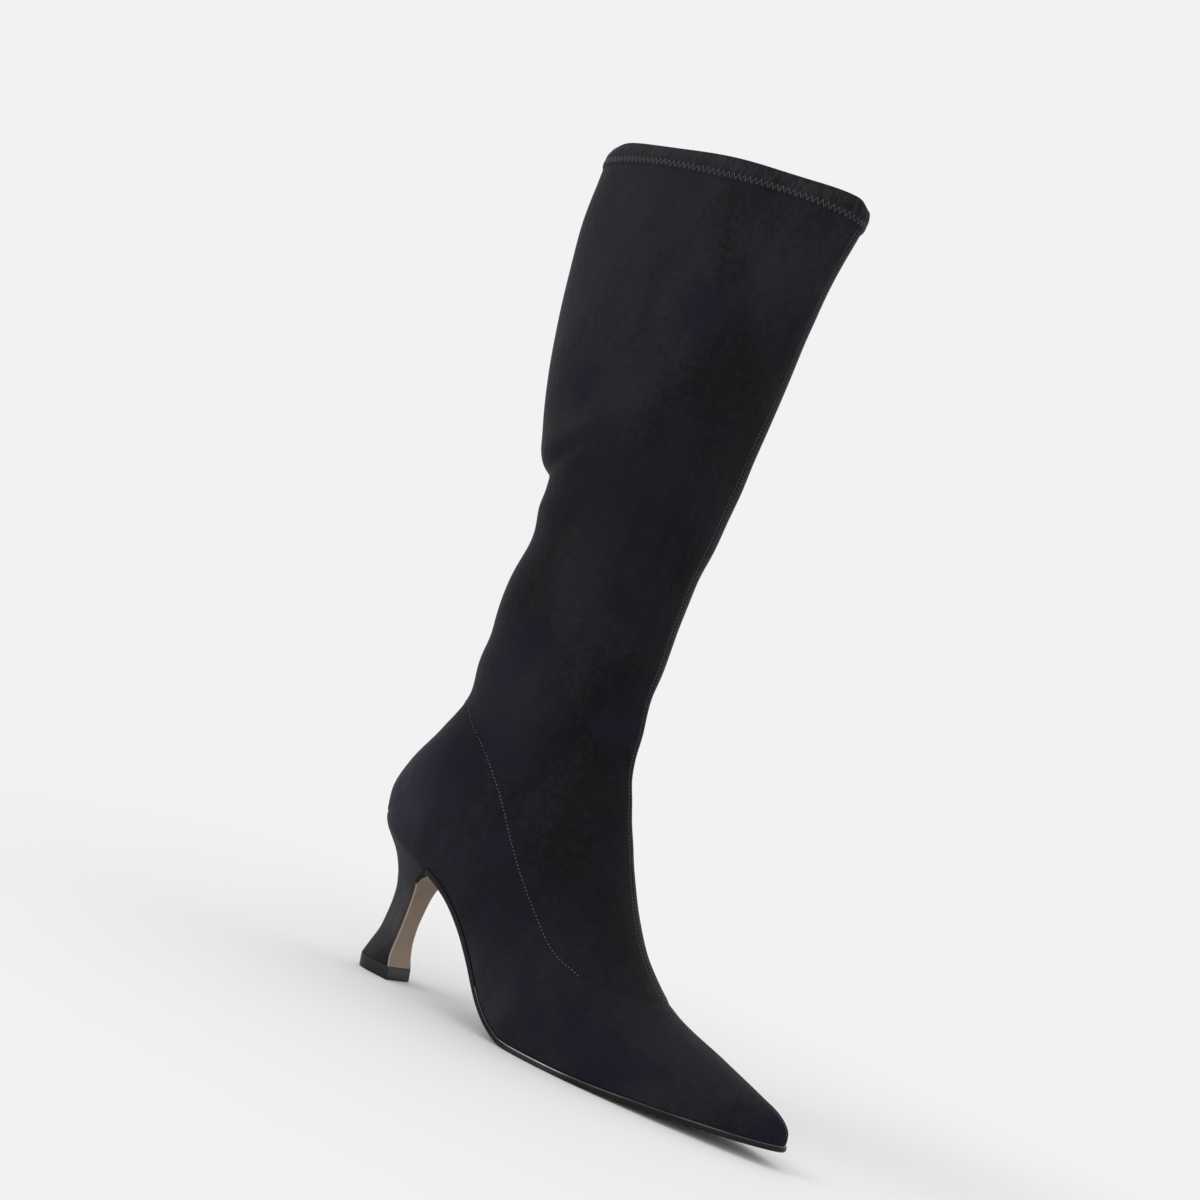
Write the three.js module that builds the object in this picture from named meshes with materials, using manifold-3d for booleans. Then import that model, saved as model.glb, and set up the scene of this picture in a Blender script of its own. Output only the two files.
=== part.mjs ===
// Knee-high boot for the right foot, with a covered stiletto heel and a zip on the inner side.
// Millimetres, +Z up, +X towards the toe, +Y towards the inner side of the leg.
import * as THREE from "three";
import { mergeVertices } from "three/addons/utils/BufferGeometryUtils.js";
import Module from "manifold-3d";

const wasm = await Module();
wasm.setup();

// Foot: length from the back of the heel seat to the toe, width across the joints,
// and the height of the ankle bend over the heel seat
const footLength = 266;
const ballWidth = 74.5;
const coneHeight = 93;

// Heel seat over the ball of the foot, and the lift of the toe over the floor
const heelRise = 73;
const toeSpring = 8;

// Leg: height over the ankle bend, front to back and side to side
const legHeight = 283;
const legDepth = 158;
const legWidth = 72;

// Wall of the upper, and the turned hem at the collar
const wall = 2;
const hemHeight = 12;
const hemStep = 0.6;

// Sole, insole and the space between pieces that touch
const soleThickness = 3;
const soleEdge = 0.8;
const insoleThickness = 2;
const clearance = 0.3;

// Heel block: the seat's length on the foot, the top lift and the leather down the breast
const seatLength = 48.5;
const liftHeight = 6.3;
const liftLean = 1.5;
const facingThickness = 1.2;

// Zip: the slot in the inner side, its place along the foot, and the chain set back in it
const zipBottom = 110;
const zipBelowCollar = 14;
const zipX = 57.5;
const zipLean = -4;
const slotWidth = 7;
const chainSetback = 0.5;
const stopLength = 3;

// Zip slider with its bridge, and the pull tab that hangs on it
const sliderLength = 12;
const sliderWidth = 9;
const sliderThickness = 1.8;
const sliderTaper = 0.65;
const sliderFootMargin = 1;
const bridgeInside = 1.3;
const bridgeThickness = 1;
const bridgeWidth = 1.6;
const pullBar = 0.6;
const pullLength = 35;
const pullWidth = 6;
const pullArm = 0.9;
const pullLoop = 10;
const pullStem = 2.4;
const pullDropWidth = 5;
const pullDropLength = 8;
const pullThickness = 1;

// Fineness of the curved pieces
const pointsAround = 36;
const pointsAlong = 17;
const seatPoints = 26;
const linePoints = 40;
const heelRings = 17;

const kneeX = 0.435 * footLength;
const seatZ = soleThickness + heelRise;
const ankleZ = seatZ + coneHeight;

// Curve through the rows of a table, given the place of each row; a steady one never swings past a row
function curveThrough(places, rows, steady = false) {
  const last = rows.length - 1;
  const rise = (i, c) => (rows[i + 1][c] - rows[i][c]) / (places[i + 1] - places[i]);
  const slope = (i, c) => {
    if (i === 0) return rise(0, c);
    if (i === last) return rise(last - 1, c);
    const before = places[i] - places[i - 1];
    const after = places[i + 1] - places[i];
    const [riseBefore, riseAfter] = [rise(i - 1, c), rise(i, c)];
    if (!steady) return (riseBefore * after + riseAfter * before) / (before + after);
    if (riseBefore * riseAfter <= 0) return 0;
    const shares = (2 * after + before) / riseBefore + (after + 2 * before) / riseAfter;
    return (3 * (before + after)) / shares;
  };
  return (place) => {
    let i = 0;
    while (i < last - 1 && place > places[i + 1]) i += 1;
    const span = places[i + 1] - places[i];
    const q = THREE.MathUtils.clamp((place - places[i]) / span, 0, 1);
    return rows[i].map(
      (value, c) =>
        value * (1 + 2 * q) * (1 - q) ** 2 +
        slope(i, c) * span * q * (1 - q) ** 2 +
        rows[i + 1][c] * q * q * (3 - 2 * q) +
        slope(i + 1, c) * span * q * q * (q - 1),
    );
  };
}

// Feather line, where the upper meets the sole: share of the foot's length,
// share of the heel's rise, share of the toe spring
const featherTable = [
  [-0.02, 1.0, 0],
  [0.006, 1.0, 0],
  [0.051, 0.966, 0],
  [0.107, 0.904, 0],
  [0.164, 0.829, 0],
  [0.239, 0.719, 0],
  [0.314, 0.527, 0],
  [0.352, 0.388, 0],
  [0.389, 0.241, 0],
  [0.419, 0.137, 0],
  [0.45, 0.05, 0],
  [0.475, 0.008, 0],
  [0.5, 0, 0],
  [0.6, 0, 0],
  [0.65, 0, 0.05],
  [0.7, 0, 0.14],
  [0.75, 0, 0.26],
  [0.812, 0, 0.41],
  [0.868, 0, 0.56],
  [0.942, 0, 0.78],
  [1.0, 0, 1.0],
  [1.04, 0, 1.17],
];
const featherCurve = curveThrough(
  featherTable.map((row) => row[0]),
  featherTable,
  true,
);
function featherZ(x) {
  const [, rise, spring] = featherCurve(x / footLength);
  return soleThickness + rise * heelRise + spring * toeSpring;
}

// Sections of the foot, from the toe over the instep to the back of the heel.
// top: x share of the foot's length, lift share of the heel's rise, height share of the cone
// bottom: x share of the foot's length, height over the feather line as a share of the cone
// belly: place of the widest point between top and bottom
// outer, inner, middle: half widths and centre as shares of the ball's width
// topPower, bottomPower: 2 is an ellipse, more is squarer
const footTable = [
  // topX  lift  height bottomX under  belly outer  inner  middle topPower bottomPower
  [1.0, 0.0, 0.122, 1.0, 0.016, 0.6, 0.007, 0.007, 0.028, 2.0, 2.0],
  [0.991, 0.0, 0.17, 0.994, -0.054, 0.6, 0.064, 0.064, 0.028, 2.0, 2.2],
  [0.968, 0.0, 0.215, 0.975, -0.091, 0.62, 0.126, 0.126, 0.028, 2.1, 2.4],
  [0.921, 0.0, 0.259, 0.93, -0.098, 0.66, 0.216, 0.216, 0.026, 2.2, 2.6],
  [0.829, 0.0, 0.339, 0.84, -0.098, 0.7, 0.342, 0.336, 0.02, 2.2, 2.8],
  [0.705, 0.04, 0.426, 0.727, -0.091, 0.74, 0.456, 0.436, 0.011, 2.0, 2.8],
  [0.626, 0.1, 0.561, 0.615, -0.091, 0.78, 0.51, 0.49, 0, 1.9, 2.8],
  [0.577, 0.25, 0.632, 0.51, -0.086, 0.8, 0.517, 0.483, 0, 1.9, 2.8],
  [0.538, 0.4, 0.714, 0.416, -0.123, 0.8, 0.497, 0.45, 0, 1.9, 2.6],
  [0.506, 0.55, 0.773, 0.329, -0.145, 0.78, 0.456, 0.416, 0, 1.9, 2.5],
  [0.479, 0.7, 0.848, 0.239, -0.124, 0.76, 0.43, 0.403, 0, 1.9, 2.4],
  [0.46, 0.8, 0.931, 0.138, -0.13, 0.72, 0.409, 0.403, 0, 1.9, 2.3],
  [0.453, 0.9, 0.976, 0.035, -0.111, 0.66, 0.403, 0.403, 0, 1.9, 2.2],
  [0.449, 1.0, 1.0, -0.002, 0.108, 0.62, 0.409, 0.409, 0, 1.9, 2.1],
  [0.446, 1.0, 1.108, 0.009, 0.292, 0.58, 0.416, 0.416, 0, 2.0, 2.0],
];

// Sections of the leg, from the ankle to the collar.
// front and back: x from the knee line as a share of the leg's depth,
// z from the ankle bend as a share of the leg's height; half width as a share of the leg's width
const legTable = [
  // frontX frontZ backX  backZ  belly half
  [0.013, 0.074, -0.649, -0.159, 0.54, 0.431],
  [0.006, 0.124, -0.598, -0.085, 0.52, 0.438],
  [0.003, 0.187, -0.603, 0.032, 0.5, 0.444],
  [0.009, 0.269, -0.609, 0.159, 0.5, 0.458],
  [0.019, 0.343, -0.595, 0.261, 0.5, 0.465],
  [0.025, 0.392, -0.608, 0.339, 0.5, 0.472],
  [0.035, 0.452, -0.69, 0.413, 0.5, 0.486],
  [0.044, 0.534, -0.756, 0.512, 0.5, 0.5],
  [0.057, 0.675, -0.823, 0.661, 0.5, 0.5],
  [0.07, 0.816, -0.87, 0.816, 0.5, 0.486],
  [0.098, 0.929, -0.877, 0.922, 0.5, 0.479],
  [0.12, 1.0, -0.88, 0.996, 0.5, 0.472],
];

// The sections in millimetres: top x z, bottom x z, belly, outer, inner, middle, the two powers
function footSection(row) {
  const [topX, lift, height, bottomX, under, belly, outer, inner, middle, topPower, bottomPower] = row;
  return [
    topX * footLength,
    soleThickness + lift * heelRise + height * coneHeight,
    bottomX * footLength,
    featherZ(bottomX * footLength) + under * coneHeight,
    belly,
    outer * ballWidth,
    inner * ballWidth,
    middle * ballWidth,
    topPower,
    bottomPower,
  ];
}
function legSection([frontX, frontZ, backX, backZ, belly, half]) {
  return [
    kneeX + frontX * legDepth,
    ankleZ + frontZ * legHeight,
    kneeX + backX * legDepth,
    ankleZ + backZ * legHeight,
    belly,
    half * legWidth,
    half * legWidth,
    0,
    2,
    2,
  ];
}
const sections = [...footTable.map(footSection), ...legTable.map(legSection)];

// Each section's place along the boot, from how far its two ends have travelled
const travels = sections.slice(1).map((row, i) => {
  const before = sections[i];
  const front = Math.hypot(row[0] - before[0], row[1] - before[1]);
  return front + Math.hypot(row[2] - before[2], row[3] - before[3]);
});
const sectionPlaces = [0];
travels.forEach((travel, i) => sectionPlaces.push(sectionPlaces[i] + Math.sqrt(travel)));
const sectionAt = curveThrough(sectionPlaces, sections);
const collarPlace = sectionPlaces.at(-1);

// A point of the upper's outer face: place along the boot, and turn from 0 at the front,
// through the outer side, to 1 again
function facePoint(place, turn) {
  const row = sectionAt(place);
  const [topX, topZ, bottomX, bottomZ, belly, outer, inner, middle, topPower, bottomPower] = row;
  const c = Math.cos(turn * 2 * Math.PI);
  const s = Math.sin(turn * 2 * Math.PI);
  const power = 2 / (c >= 0 ? topPower : bottomPower);
  const along = c >= 0 ? belly * (1 - c ** power) : belly + (1 - belly) * (-c) ** power;
  const across = Math.abs(s) ** power;
  return new THREE.Vector3(
    topX + (bottomX - topX) * along,
    middle + across * (s >= 0 ? -outer : inner),
    topZ + (bottomZ - topZ) * along,
  );
}

// The same point moved out along the face's normal
function offsetPoint(place, turn, distance) {
  const point = facePoint(place, turn);
  if (distance === 0) return point;
  const step = 0.01;
  const around = facePoint(place, turn + step).sub(facePoint(place, turn - step));
  const [before, after] = [Math.max(place - step, 0), Math.min(place + step, collarPlace)];
  const along = facePoint(after, turn).sub(facePoint(before, turn));
  const normal = place < step ? new THREE.Vector3(1, 0, 0) : along.cross(around).normalize();
  return point.addScaledVector(normal, distance);
}

// Closed solid through rings of points, with a cap at each end
function loft(rings) {
  const count = rings[0].length;
  const points = rings.flat();
  const middles = [rings[0], rings.at(-1)].map((ring) =>
    ring.reduce((sum, p) => sum.add(p), new THREE.Vector3()).divideScalar(count),
  );
  const [start, end] = [points.length, points.length + 1];
  points.push(...middles);
  const faces = [];
  for (let j = 0; j < count; j += 1) {
    const k = (j + 1) % count;
    const top = (rings.length - 1) * count;
    faces.push(start, k, j, end, top + j, top + k);
    for (let i = 0; i < rings.length - 1; i += 1) {
      const [a, b] = [i * count + j, i * count + k];
      faces.push(a, b, b + count, a, b + count, a + count);
    }
  }
  const geometry = new THREE.BufferGeometry().setFromPoints(points);
  geometry.setIndex(faces);
  return toSolid(geometry);
}

function signedVolume(positions, faces) {
  const corner = (i) => new THREE.Vector3().fromArray(positions, 3 * i);
  let sum = 0;
  for (let i = 0; i < faces.length; i += 3) {
    sum += corner(faces[i]).dot(corner(faces[i + 1]).cross(corner(faces[i + 2])));
  }
  return sum;
}

function toSolid(source) {
  const geometry = source.clone();
  geometry.deleteAttribute("normal");
  geometry.deleteAttribute("uv");
  const merged = mergeVertices(geometry, 1e-4);
  const vertProperties = new Float32Array(merged.attributes.position.array);
  const triVerts = new Uint32Array(merged.index.array);
  if (signedVolume(vertProperties, triVerts) < 0) triVerts.reverse();
  return new wasm.Manifold(new wasm.Mesh({ numProp: 3, vertProperties, triVerts }));
}

function toGeometry(solid) {
  const mesh = solid.getMesh();
  const geometry = new THREE.BufferGeometry();
  geometry.setAttribute("position", new THREE.BufferAttribute(mesh.vertProperties, 3));
  geometry.setIndex(new THREE.BufferAttribute(mesh.triVerts, 1));
  geometry.computeVertexNormals();
  return geometry;
}

// Plate with an outline in the side plane, from y = low to y = high
function sidePlate(outline, low, high) {
  const shape = new THREE.Shape(outline.map(([x, z]) => new THREE.Vector2(x, z)));
  const geometry = new THREE.ExtrudeGeometry(shape, { depth: high - low, bevelEnabled: false });
  geometry.rotateX(Math.PI / 2);
  geometry.translate(0, high, 0);
  return toSolid(geometry);
}

// Plate with an outline in plan, from z = low to z = high
function planPlate(outline, low, high) {
  const shape = new THREE.Shape(outline.map(([x, y]) => new THREE.Vector2(x, y)));
  const geometry = new THREE.ExtrudeGeometry(shape, { depth: high - low, bevelEnabled: false });
  geometry.translate(0, 0, low);
  return toSolid(geometry);
}

// Upper: the places of the rings, close together where the form turns quickly
const ringPlaces = [0];
travels.forEach((travel, i) => {
  const steps = Math.ceil(travel / 2 / pointsAlong);
  for (let k = 1; k <= steps; k += 1) {
    ringPlaces.push(THREE.MathUtils.lerp(sectionPlaces[i], sectionPlaces[i + 1], k / steps));
  }
});
const hemPlace = ringPlaces.filter((place) => sectionAt(place)[1] < ankleZ + legHeight - hemHeight).at(-1);
const hemStart = THREE.MathUtils.lerp(
  sectionPlaces.at(-2),
  collarPlace,
  1 - hemHeight / (legHeight * (legTable.at(-1)[1] - legTable.at(-2)[1])),
);
const placesBelowHem = ringPlaces.filter((place) => place <= hemPlace);
const placesOfHem = [hemStart, (hemStart + collarPlace) / 2, collarPlace];

function ring(place, distance) {
  return Array.from({ length: pointsAround }, (unused, i) => offsetPoint(place, i / pointsAround, distance));
}

// The form of the upper at a distance from its outer face, carried past the collar by a length
function form(distance, pastCollar) {
  const rings = [...placesBelowHem, ...placesOfHem].map((place) => ring(place, distance));
  if (pastCollar) rings.push(rings.at(-1).map((p) => p.clone().setZ(p.z + pastCollar)));
  return loft(rings);
}

function upperOuter() {
  const plain = [...placesBelowHem, hemStart].map((place) => ring(place, 0));
  const hem = placesOfHem.map((place) => ring(place, hemStep));
  return loft([...plain, ...hem]);
}

// Everything under a line that runs at a height over the feather line
function underLine(heightOver) {
  const low = -ballWidth;
  const [first, last] = [featherTable[0][0], featherTable.at(-1)[0]];
  const line = Array.from({ length: linePoints + 1 }, (unused, i) => {
    const x = THREE.MathUtils.lerp(first, last, i / linePoints) * footLength;
    return [x, featherZ(x) + heightOver];
  });
  const outline = [
    [-footLength, low],
    [-footLength, line[0][1]],
    ...line,
    [2 * footLength, line.at(-1)[1]],
    [2 * footLength, low],
  ];
  return sidePlate(outline, -ballWidth, ballWidth);
}

// Zip slot: a leaning strip of the inner side, narrowed and shortened by a margin
const collarZ = ankleZ + legHeight;
const zipTop = collarZ - zipBelowCollar;
function zipXAt(z) {
  return zipX + (zipLean * (z - zipBottom)) / (zipTop - zipBottom);
}
function zipStrip(low, high, margin) {
  const half = slotWidth / 2 - margin;
  const outline = [
    [zipXAt(low) - half, low],
    [zipXAt(low) + half, low],
    [zipXAt(high) + half, high],
    [zipXAt(high) - half, high],
  ];
  return sidePlate(outline, legWidth / 8, ballWidth);
}

const innerForm = form(-wall, hemHeight);
const upperSolid = upperOuter()
  .subtract(innerForm)
  .subtract(underLine(0))
  .subtract(zipStrip(zipBottom, zipTop, 0));

// Zip chain and its bottom stop, between the wall's inner face and a face set back from the outer one
const stopTop = zipBottom + stopLength;
const slotFill = form(-chainSetback, 0).subtract(innerForm);
const chainSolid = slotFill.intersect(zipStrip(stopTop + clearance, zipTop - clearance, clearance));
const stopSolid = form(0, 0)
  .subtract(form(-wall / 2, hemHeight))
  .intersect(zipStrip(zipBottom + clearance, stopTop, clearance));

// Insole: what the inside leaves on the feather line
const insoleSolid = form(-wall - clearance, 0).intersect(underLine(insoleThickness).subtract(underLine(0)));

// Outline of the upper on the feather line, from the toe along a side to the back of the heel
function featherOutline(side) {
  const outline = [];
  const steps = 240;
  for (let i = 0; i <= steps; i += 1) {
    const place = (i / steps) * collarPlace;
    const [, , bottomX, bottomZ] = sectionAt(place);
    if (bottomZ > featherZ(bottomX)) continue;
    let low = 0.02;
    let high = 0.5;
    for (let k = 0; k < 24; k += 1) {
      const middle = (low + high) / 2;
      const p = facePoint(place, side * middle);
      if (p.z > featherZ(p.x)) low = middle;
      else high = middle;
    }
    const p = facePoint(place, side * low);
    outline.push([p.x, p.y]);
  }
  return outline;
}
const outerEdge = featherOutline(1);
const innerEdge = featherOutline(-1);

// Points of an outline at even distances
function evenly(outline, count) {
  const curve = new THREE.CurvePath();
  outline.slice(1).forEach(([x, y], i) => {
    curve.add(new THREE.LineCurve(new THREE.Vector2(...outline[i]), new THREE.Vector2(x, y)));
  });
  const points = Array.from({ length: count + 1 }, (unused, i) => curve.getPointAt(i / count));
  return points.map((p) => [p.x, p.y]);
}

// Outline moved out by a distance, in plan; the outline runs with its outside on the right hand
function grown(outline, distance) {
  return outline.map(([x, y], i) => {
    const before = outline[Math.max(i - 1, 0)];
    const after = outline[Math.min(i + 1, outline.length - 1)];
    const along = new THREE.Vector2(after[0] - before[0], after[1] - before[1]).normalize();
    return [x + along.y * distance, y - along.x * distance];
  });
}

// Outsole: the outline of the upper a little proud, thick square to the feather line
const soleStart = seatLength + clearance;
function beforeSeat(edge) {
  const kept = edge.filter(([x]) => x > soleStart);
  kept.push([soleStart, kept.at(-1)[1]]);
  return kept;
}
const soleOutline = grown(
  evenly([...beforeSeat(innerEdge).reverse(), ...beforeSeat(outerEdge)], 2 * linePoints).reverse(),
  soleEdge,
);
function soleProfile() {
  const top = [];
  const bottom = [];
  for (let i = 0; i <= linePoints; i += 1) {
    const x = THREE.MathUtils.lerp(soleStart, footLength + 2 * soleThickness, i / linePoints);
    const slope = featherZ(x + 0.5) - featherZ(x - 0.5);
    const long = Math.hypot(1, slope);
    top.push([x, featherZ(x) - clearance * long]);
    bottom.push([x + (slope / long) * soleThickness, featherZ(x) - soleThickness / long]);
  }
  bottom[0][0] = soleStart;
  return [...top, ...bottom.reverse()];
}
const outsoleSolid = planPlate(soleOutline, -toeSpring, seatZ).intersect(
  sidePlate(soleProfile(), -ballWidth, ballWidth),
);

// Heel: rings from the top lift up to the seat, each a scaled copy of the seat's outline.
// height share of the block, back and breast as shares of the seat's length, width share of the seat's,
// and the fullness of the back: 1 is round like the seat, less is squarer
const heelTable = [
  [0.0, 0.314, 0.816, 0.425, 0.62],
  [0.1, 0.354, 0.775, 0.385, 0.7],
  [0.25, 0.405, 0.755, 0.313, 0.8],
  [0.4, 0.411, 0.751, 0.285, 0.9],
  [0.52, 0.398, 0.755, 0.3, 1.0],
  [0.64, 0.346, 0.759, 0.33, 1.0],
  [0.74, 0.266, 0.768, 0.38, 1.0],
  [0.82, 0.187, 0.785, 0.49, 1.0],
  [0.9, 0.085, 0.86, 0.68, 1.0],
  [0.94, 0.045, 0.93, 0.84, 1.0],
  [0.97, 0.022, 0.975, 0.945, 1.0],
  [1.0, 0.0, 1.0, 1.0, 1.0],
];
const heelCurve = curveThrough(
  heelTable.map((row) => row[0]),
  heelTable,
  true,
);
function behindSeat(edge) {
  const kept = edge.filter(([x]) => x < seatLength);
  kept.unshift([seatLength, kept[0][1]]);
  return kept;
}
const seatOutline = evenly([...behindSeat(outerEdge), ...behindSeat(innerEdge).reverse()], seatPoints);
const seatBack = Math.min(...seatOutline.map(([x]) => x));
const seatHalf = Math.max(...seatOutline.map(([, y]) => Math.abs(y)));
const blockBottom = liftHeight + clearance;

function heelPoint([x, y], share, cutBack) {
  const [, back, breast, width, fullness] = heelCurve(share);
  const along = (x - seatBack) / (seatLength - seatBack);
  const high = blockBottom + share * (featherZ(x) - clearance - blockBottom);
  const backX = THREE.MathUtils.lerp(seatBack, seatLength, back);
  const breastX = breast * seatLength - cutBack;
  const across = Math.sign(y) * seatHalf * (Math.abs(y) / seatHalf) ** fullness;
  return new THREE.Vector3(THREE.MathUtils.lerp(backX, breastX, along), across * width, high);
}
const heelShares = Array.from({ length: heelRings + 1 }, (unused, i) => i / heelRings);
const heelSolid = loft(
  heelShares.map((share) => seatOutline.map((p) => heelPoint(p, share, facingThickness + clearance))),
);

// Leather down the breast, as wide as the block's front
function facingRing(share) {
  const [outer, inner] = [seatOutline[0], seatOutline.at(-1)];
  return [outer, inner].flatMap((corner, i) => {
    const front = heelPoint([seatLength, corner[1]], share, 0);
    const back = heelPoint([seatLength, corner[1]], share, facingThickness);
    return i === 0 ? [back, front] : [front, back];
  });
}
const facingSolid = loft(heelShares.map(facingRing));

// Top lift, under the block and the breast leather
function liftRing(z, forward) {
  return seatOutline.map((p) => {
    const point = heelPoint(p, 0, 0);
    return new THREE.Vector3(point.x + forward, point.y, z);
  });
}
const liftSolid = loft([liftRing(0, liftLean), liftRing(liftHeight, 0)]);

// Zip slider, in its own frame: x along the foot, y out of the leg, z up, on the outer face of the wall.
// Its plate narrows to both ends, its foot reaches into the slot and its bridge holds the pull tab.
const plateOut = clearance + sliderThickness;
const barOut = plateOut + clearance + pullBar + pullThickness / 2;
function sliderSolid() {
  const half = sliderWidth / 2;
  const narrow = half * sliderTaper;
  const long = sliderLength / 2;
  const footHalf = slotWidth / 2 - sliderFootMargin;
  const plate = sidePlate(
    [
      [-narrow, -long],
      [narrow, -long],
      [half, 0],
      [half, long * sliderTaper],
      [narrow, long],
      [-narrow, long],
      [-half, long * sliderTaper],
      [-half, 0],
    ],
    clearance,
    plateOut,
  );
  const foot = sidePlate(
    [
      [-footHalf, -long * sliderTaper],
      [footHalf, -long * sliderTaper],
      [footHalf, long * sliderTaper],
      [-footHalf, long * sliderTaper],
    ],
    0,
    plateOut - sliderThickness / 2,
  );
  const reach = bridgeInside + bridgeThickness;
  const root = plateOut - sliderThickness / 4;
  const arch = new THREE.Shape();
  arch.moveTo(-reach, root);
  arch.lineTo(-reach, barOut);
  arch.absarc(0, barOut, reach, Math.PI, 0, true);
  arch.lineTo(reach, root);
  arch.lineTo(bridgeInside, root);
  arch.lineTo(bridgeInside, barOut);
  arch.absarc(0, barOut, bridgeInside, 0, Math.PI, false);
  arch.lineTo(-bridgeInside, root);
  const across = { depth: bridgeWidth, bevelEnabled: false, curveSegments: 10 };
  const bridge = new THREE.ExtrudeGeometry(arch, across);
  bridge.translate(0, 0, -bridgeWidth / 2);
  bridge.rotateY(Math.PI / 2);
  return plate.add(foot).add(toSolid(bridge));
}

// Pull tab: a bar through the bridge, two arms that meet in a stem, and a drop-shaped end
function pullSolid() {
  const half = pullWidth / 2;
  const stem = pullStem / 2;
  const drop = pullDropWidth / 2;
  const dropCentre = -pullLength + drop;
  const dropStart = -pullLength + pullDropLength;
  const [holeStart, holeEnd] = [-pullBar / 4, -pullLoop + 2 * pullArm];
  const inside = (y) => THREE.MathUtils.mapLinear(y, 0, -pullLoop, half, stem) - pullArm;
  const outline = new THREE.Shape();
  outline.moveTo(-half, 0);
  outline.lineTo(-stem, -pullLoop);
  outline.lineTo(-stem, dropStart);
  outline.lineTo(-drop, dropCentre);
  outline.absarc(0, dropCentre, drop, Math.PI, 2 * Math.PI, false);
  outline.lineTo(stem, dropStart);
  outline.lineTo(stem, -pullLoop);
  outline.lineTo(half, 0);
  const hole = new THREE.Path();
  hole.moveTo(-inside(holeStart), holeStart);
  hole.lineTo(inside(holeStart), holeStart);
  hole.lineTo(inside(holeEnd), holeEnd);
  hole.lineTo(-inside(holeEnd), holeEnd);
  hole.closePath();
  outline.holes.push(hole);
  const through = { depth: pullThickness, bevelEnabled: false, curveSegments: 12 };
  const tab = new THREE.ExtrudeGeometry(outline, through);
  tab.rotateX(Math.PI / 2);
  tab.translate(0, pullThickness / 2, 0);
  const bar = new THREE.CylinderGeometry(pullBar, pullBar, pullWidth, 12).rotateZ(Math.PI / 2);
  return toSolid(tab).add(toSolid(bar));
}

// Finishes
const suede = new THREE.MeshStandardMaterial({ color: 0x1e1e23, roughness: 0.95, metalness: 0 });
const lining = new THREE.MeshStandardMaterial({ color: 0x2a2724, roughness: 0.9, metalness: 0 });
const soleEdgeBlack = new THREE.MeshStandardMaterial({ color: 0x0d0d0e, roughness: 0.35, metalness: 0 });
const tanLeather = new THREE.MeshStandardMaterial({ color: 0x827367, roughness: 0.55, metalness: 0 });
const liftBlack = new THREE.MeshStandardMaterial({ color: 0x0b0b0c, roughness: 0.3, metalness: 0 });
const zipBlack = new THREE.MeshStandardMaterial({ color: 0x141416, roughness: 0.6, metalness: 0 });
const steel = new THREE.MeshStandardMaterial({ color: 0xc9cace, roughness: 0.25, metalness: 1 });

function piece(name, solid, material) {
  const mesh = new THREE.Mesh(toGeometry(solid), material);
  mesh.name = name;
  return mesh;
}

const body = new THREE.Group();
body.add(
  piece("upper", upperSolid, suede),
  piece("insole", insoleSolid, lining),
  piece("outsole", outsoleSolid, soleEdgeBlack),
  piece("heel", heelSolid, suede),
  piece("heel_breast", facingSolid, tanLeather),
  piece("top_lift", liftSolid, liftBlack),
  piece("zip_chain", chainSolid, zipBlack),
  piece("zip_stop", stopSolid, steel),
);

// Height of the inner side's face over a place of the side plane, found by steps from the zip's line
function innerFaceY(x, z) {
  const step = 0.01;
  let [place, turn] = [collarPlace - 1, 0.75];
  for (let i = 0; i < 12; i += 1) {
    const here = facePoint(place, turn);
    const up = facePoint(place + step, turn).sub(here).divideScalar(step);
    const round = facePoint(place, turn + step).sub(here).divideScalar(step);
    const area = up.x * round.z - up.z * round.x;
    const [dx, dz] = [x - here.x, z - here.z];
    place = Math.min(place + (dx * round.z - dz * round.x) / area, collarPlace - 2 * step);
    turn += (dz * up.x - dx * up.z) / area;
  }
  return facePoint(place, turn).y;
}

// The slider stands at the top of the chain, on the outer face of the inner side
const sliderZ = zipTop - sliderLength / 2 - clearance;
const sliderPlace = new THREE.Group();
sliderPlace.position.set(zipXAt(sliderZ), innerFaceY(zipXAt(sliderZ), sliderZ), sliderZ);
const pull = piece("zip_pull", pullSolid(), steel);
pull.position.y = barOut;
sliderPlace.add(piece("zip_slider", sliderSolid(), steel), pull);
body.add(sliderPlace);

// Origin under the middle of the boot, on the floor
body.updateMatrixWorld(true);
const bounds = new THREE.Box3().setFromObject(body, true);
body.position.set(-(bounds.min.x + bounds.max.x) / 2, -(bounds.min.y + bounds.max.y) / 2, -bounds.min.z);

const boot = new THREE.Group();
boot.add(body);
export default boot;
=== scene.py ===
"""Knee-high suede boot for the right foot: its looks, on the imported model.

Sizes are in millimetres on the last, whose origin is the back of the heel seat over the floor.
Every mesh is written in metres in the model's frame.
"""

import math

import bmesh
import bpy
import numpy as np
from mathutils import Matrix, Vector
from mathutils.bvhtree import BVHTree


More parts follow.
